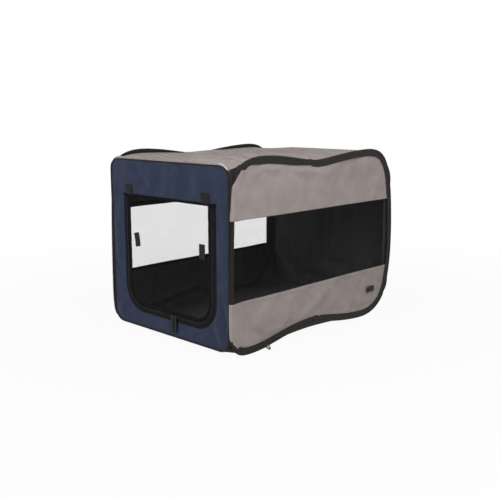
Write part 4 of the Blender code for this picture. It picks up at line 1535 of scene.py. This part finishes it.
made, tree, output = new_material("white studio floor")
paper = add(tree, "BsdfDiffuse", inputs={"Color": linear("#c8c8c8")})
glow = add(tree, "Emission", inputs={"Color": (1, 1, 1, 1), "Strength": 1.0})
middle = add(tree, "VectorMath", {"operation": "LENGTH"}, {
    0: add(tree, "TexCoord").outputs["Object"]}).outputs["Value"]
blank = add(tree, "MapRange", inputs={
    "Value": middle, "From Min": 0.5, "From Max": 1.5, "To Min": 0.94, "To Max": 1.0}).outputs[0]
share = add(tree, "Math", {"operation": "MULTIPLY"}, {0: sees_white(tree), 1: blank}).outputs[0]
mixed = add(tree, "MixShader", inputs={"Fac": share, 1: paper.outputs[0], 2: glow.outputs[0]})
tree.links.new(mixed.outputs[0], output.inputs["Surface"])
floor_mesh = bpy.data.meshes.new("studio_floor")
size = 12.0
floor_mesh.from_pydata([(-size, -size, 0), (size, -size, 0), (size, size, 0), (-size, size, 0)],
                       [], [(0, 1, 2, 3)])
floor_mesh.materials.append(made)
studio_floor = bpy.data.objects.new("studio_floor", floor_mesh)
studio_floor.location.z = -0.0003
bpy.context.scene.collection.objects.link(studio_floor)

scene = bpy.context.scene
world = bpy.data.worlds.new("studio")
scene.world = world
world.use_nodes = True
world.node_tree.nodes.clear()
sky = add(world.node_tree, "Background", inputs={"Color": (1, 1, 1, 1), "Strength": 0.36})
white = add(world.node_tree, "Background", inputs={"Color": (1, 1, 1, 1), "Strength": 1.0})
mixed = add(world.node_tree, "MixShader", inputs={
    "Fac": sees_white(world.node_tree), 1: sky.outputs[0], 2: white.outputs[0]})
add(world.node_tree, "OutputWorld", inputs={"Surface": mixed.outputs[0]})


def lamp(name, place, aim, size, watts):
    """A square area lamp that faces a point."""
    light = bpy.data.lights.new(name, "AREA")
    light.size, light.energy = size, watts
    holder = bpy.data.objects.new(name, light)
    holder.location = place
    holder.rotation_euler = (Vector(aim) - Vector(place)).to_track_quat("-Z", "Y").to_euler()
    scene.collection.objects.link(holder)


lamp("front lamp", (-0.6, -2.9, 1.3), (0, -0.1, 0.25), 1.0, 40)
lamp("right lamp", (1.2, -0.3, 1.2), (0.2, 0, 0.25), 0.8, 12.5)

# %% [markdown]
# ## Camera
# The photograph was taken from the front right, a little above the roof. The camera's place
# and focal length were worked out from the perspective of the crate's edges.

# %% Camera
camera = bpy.data.objects.new("camera", bpy.data.cameras.new("camera"))
camera.data.lens, camera.data.sensor_width = 52.86, 36
yaw, pitch = math.radians(-43.99), math.radians(-10.78)
view_way = Vector((math.cos(pitch) * math.sin(yaw), math.cos(pitch) * math.cos(yaw), math.sin(pitch)))
camera.location = (1.3789, -1.4526, 0.5661)
camera.rotation_euler = view_way.to_track_quat("-Z", "Y").to_euler()
scene.collection.objects.link(camera)
scene.camera = camera
scene.view_settings.view_transform = "Standard"
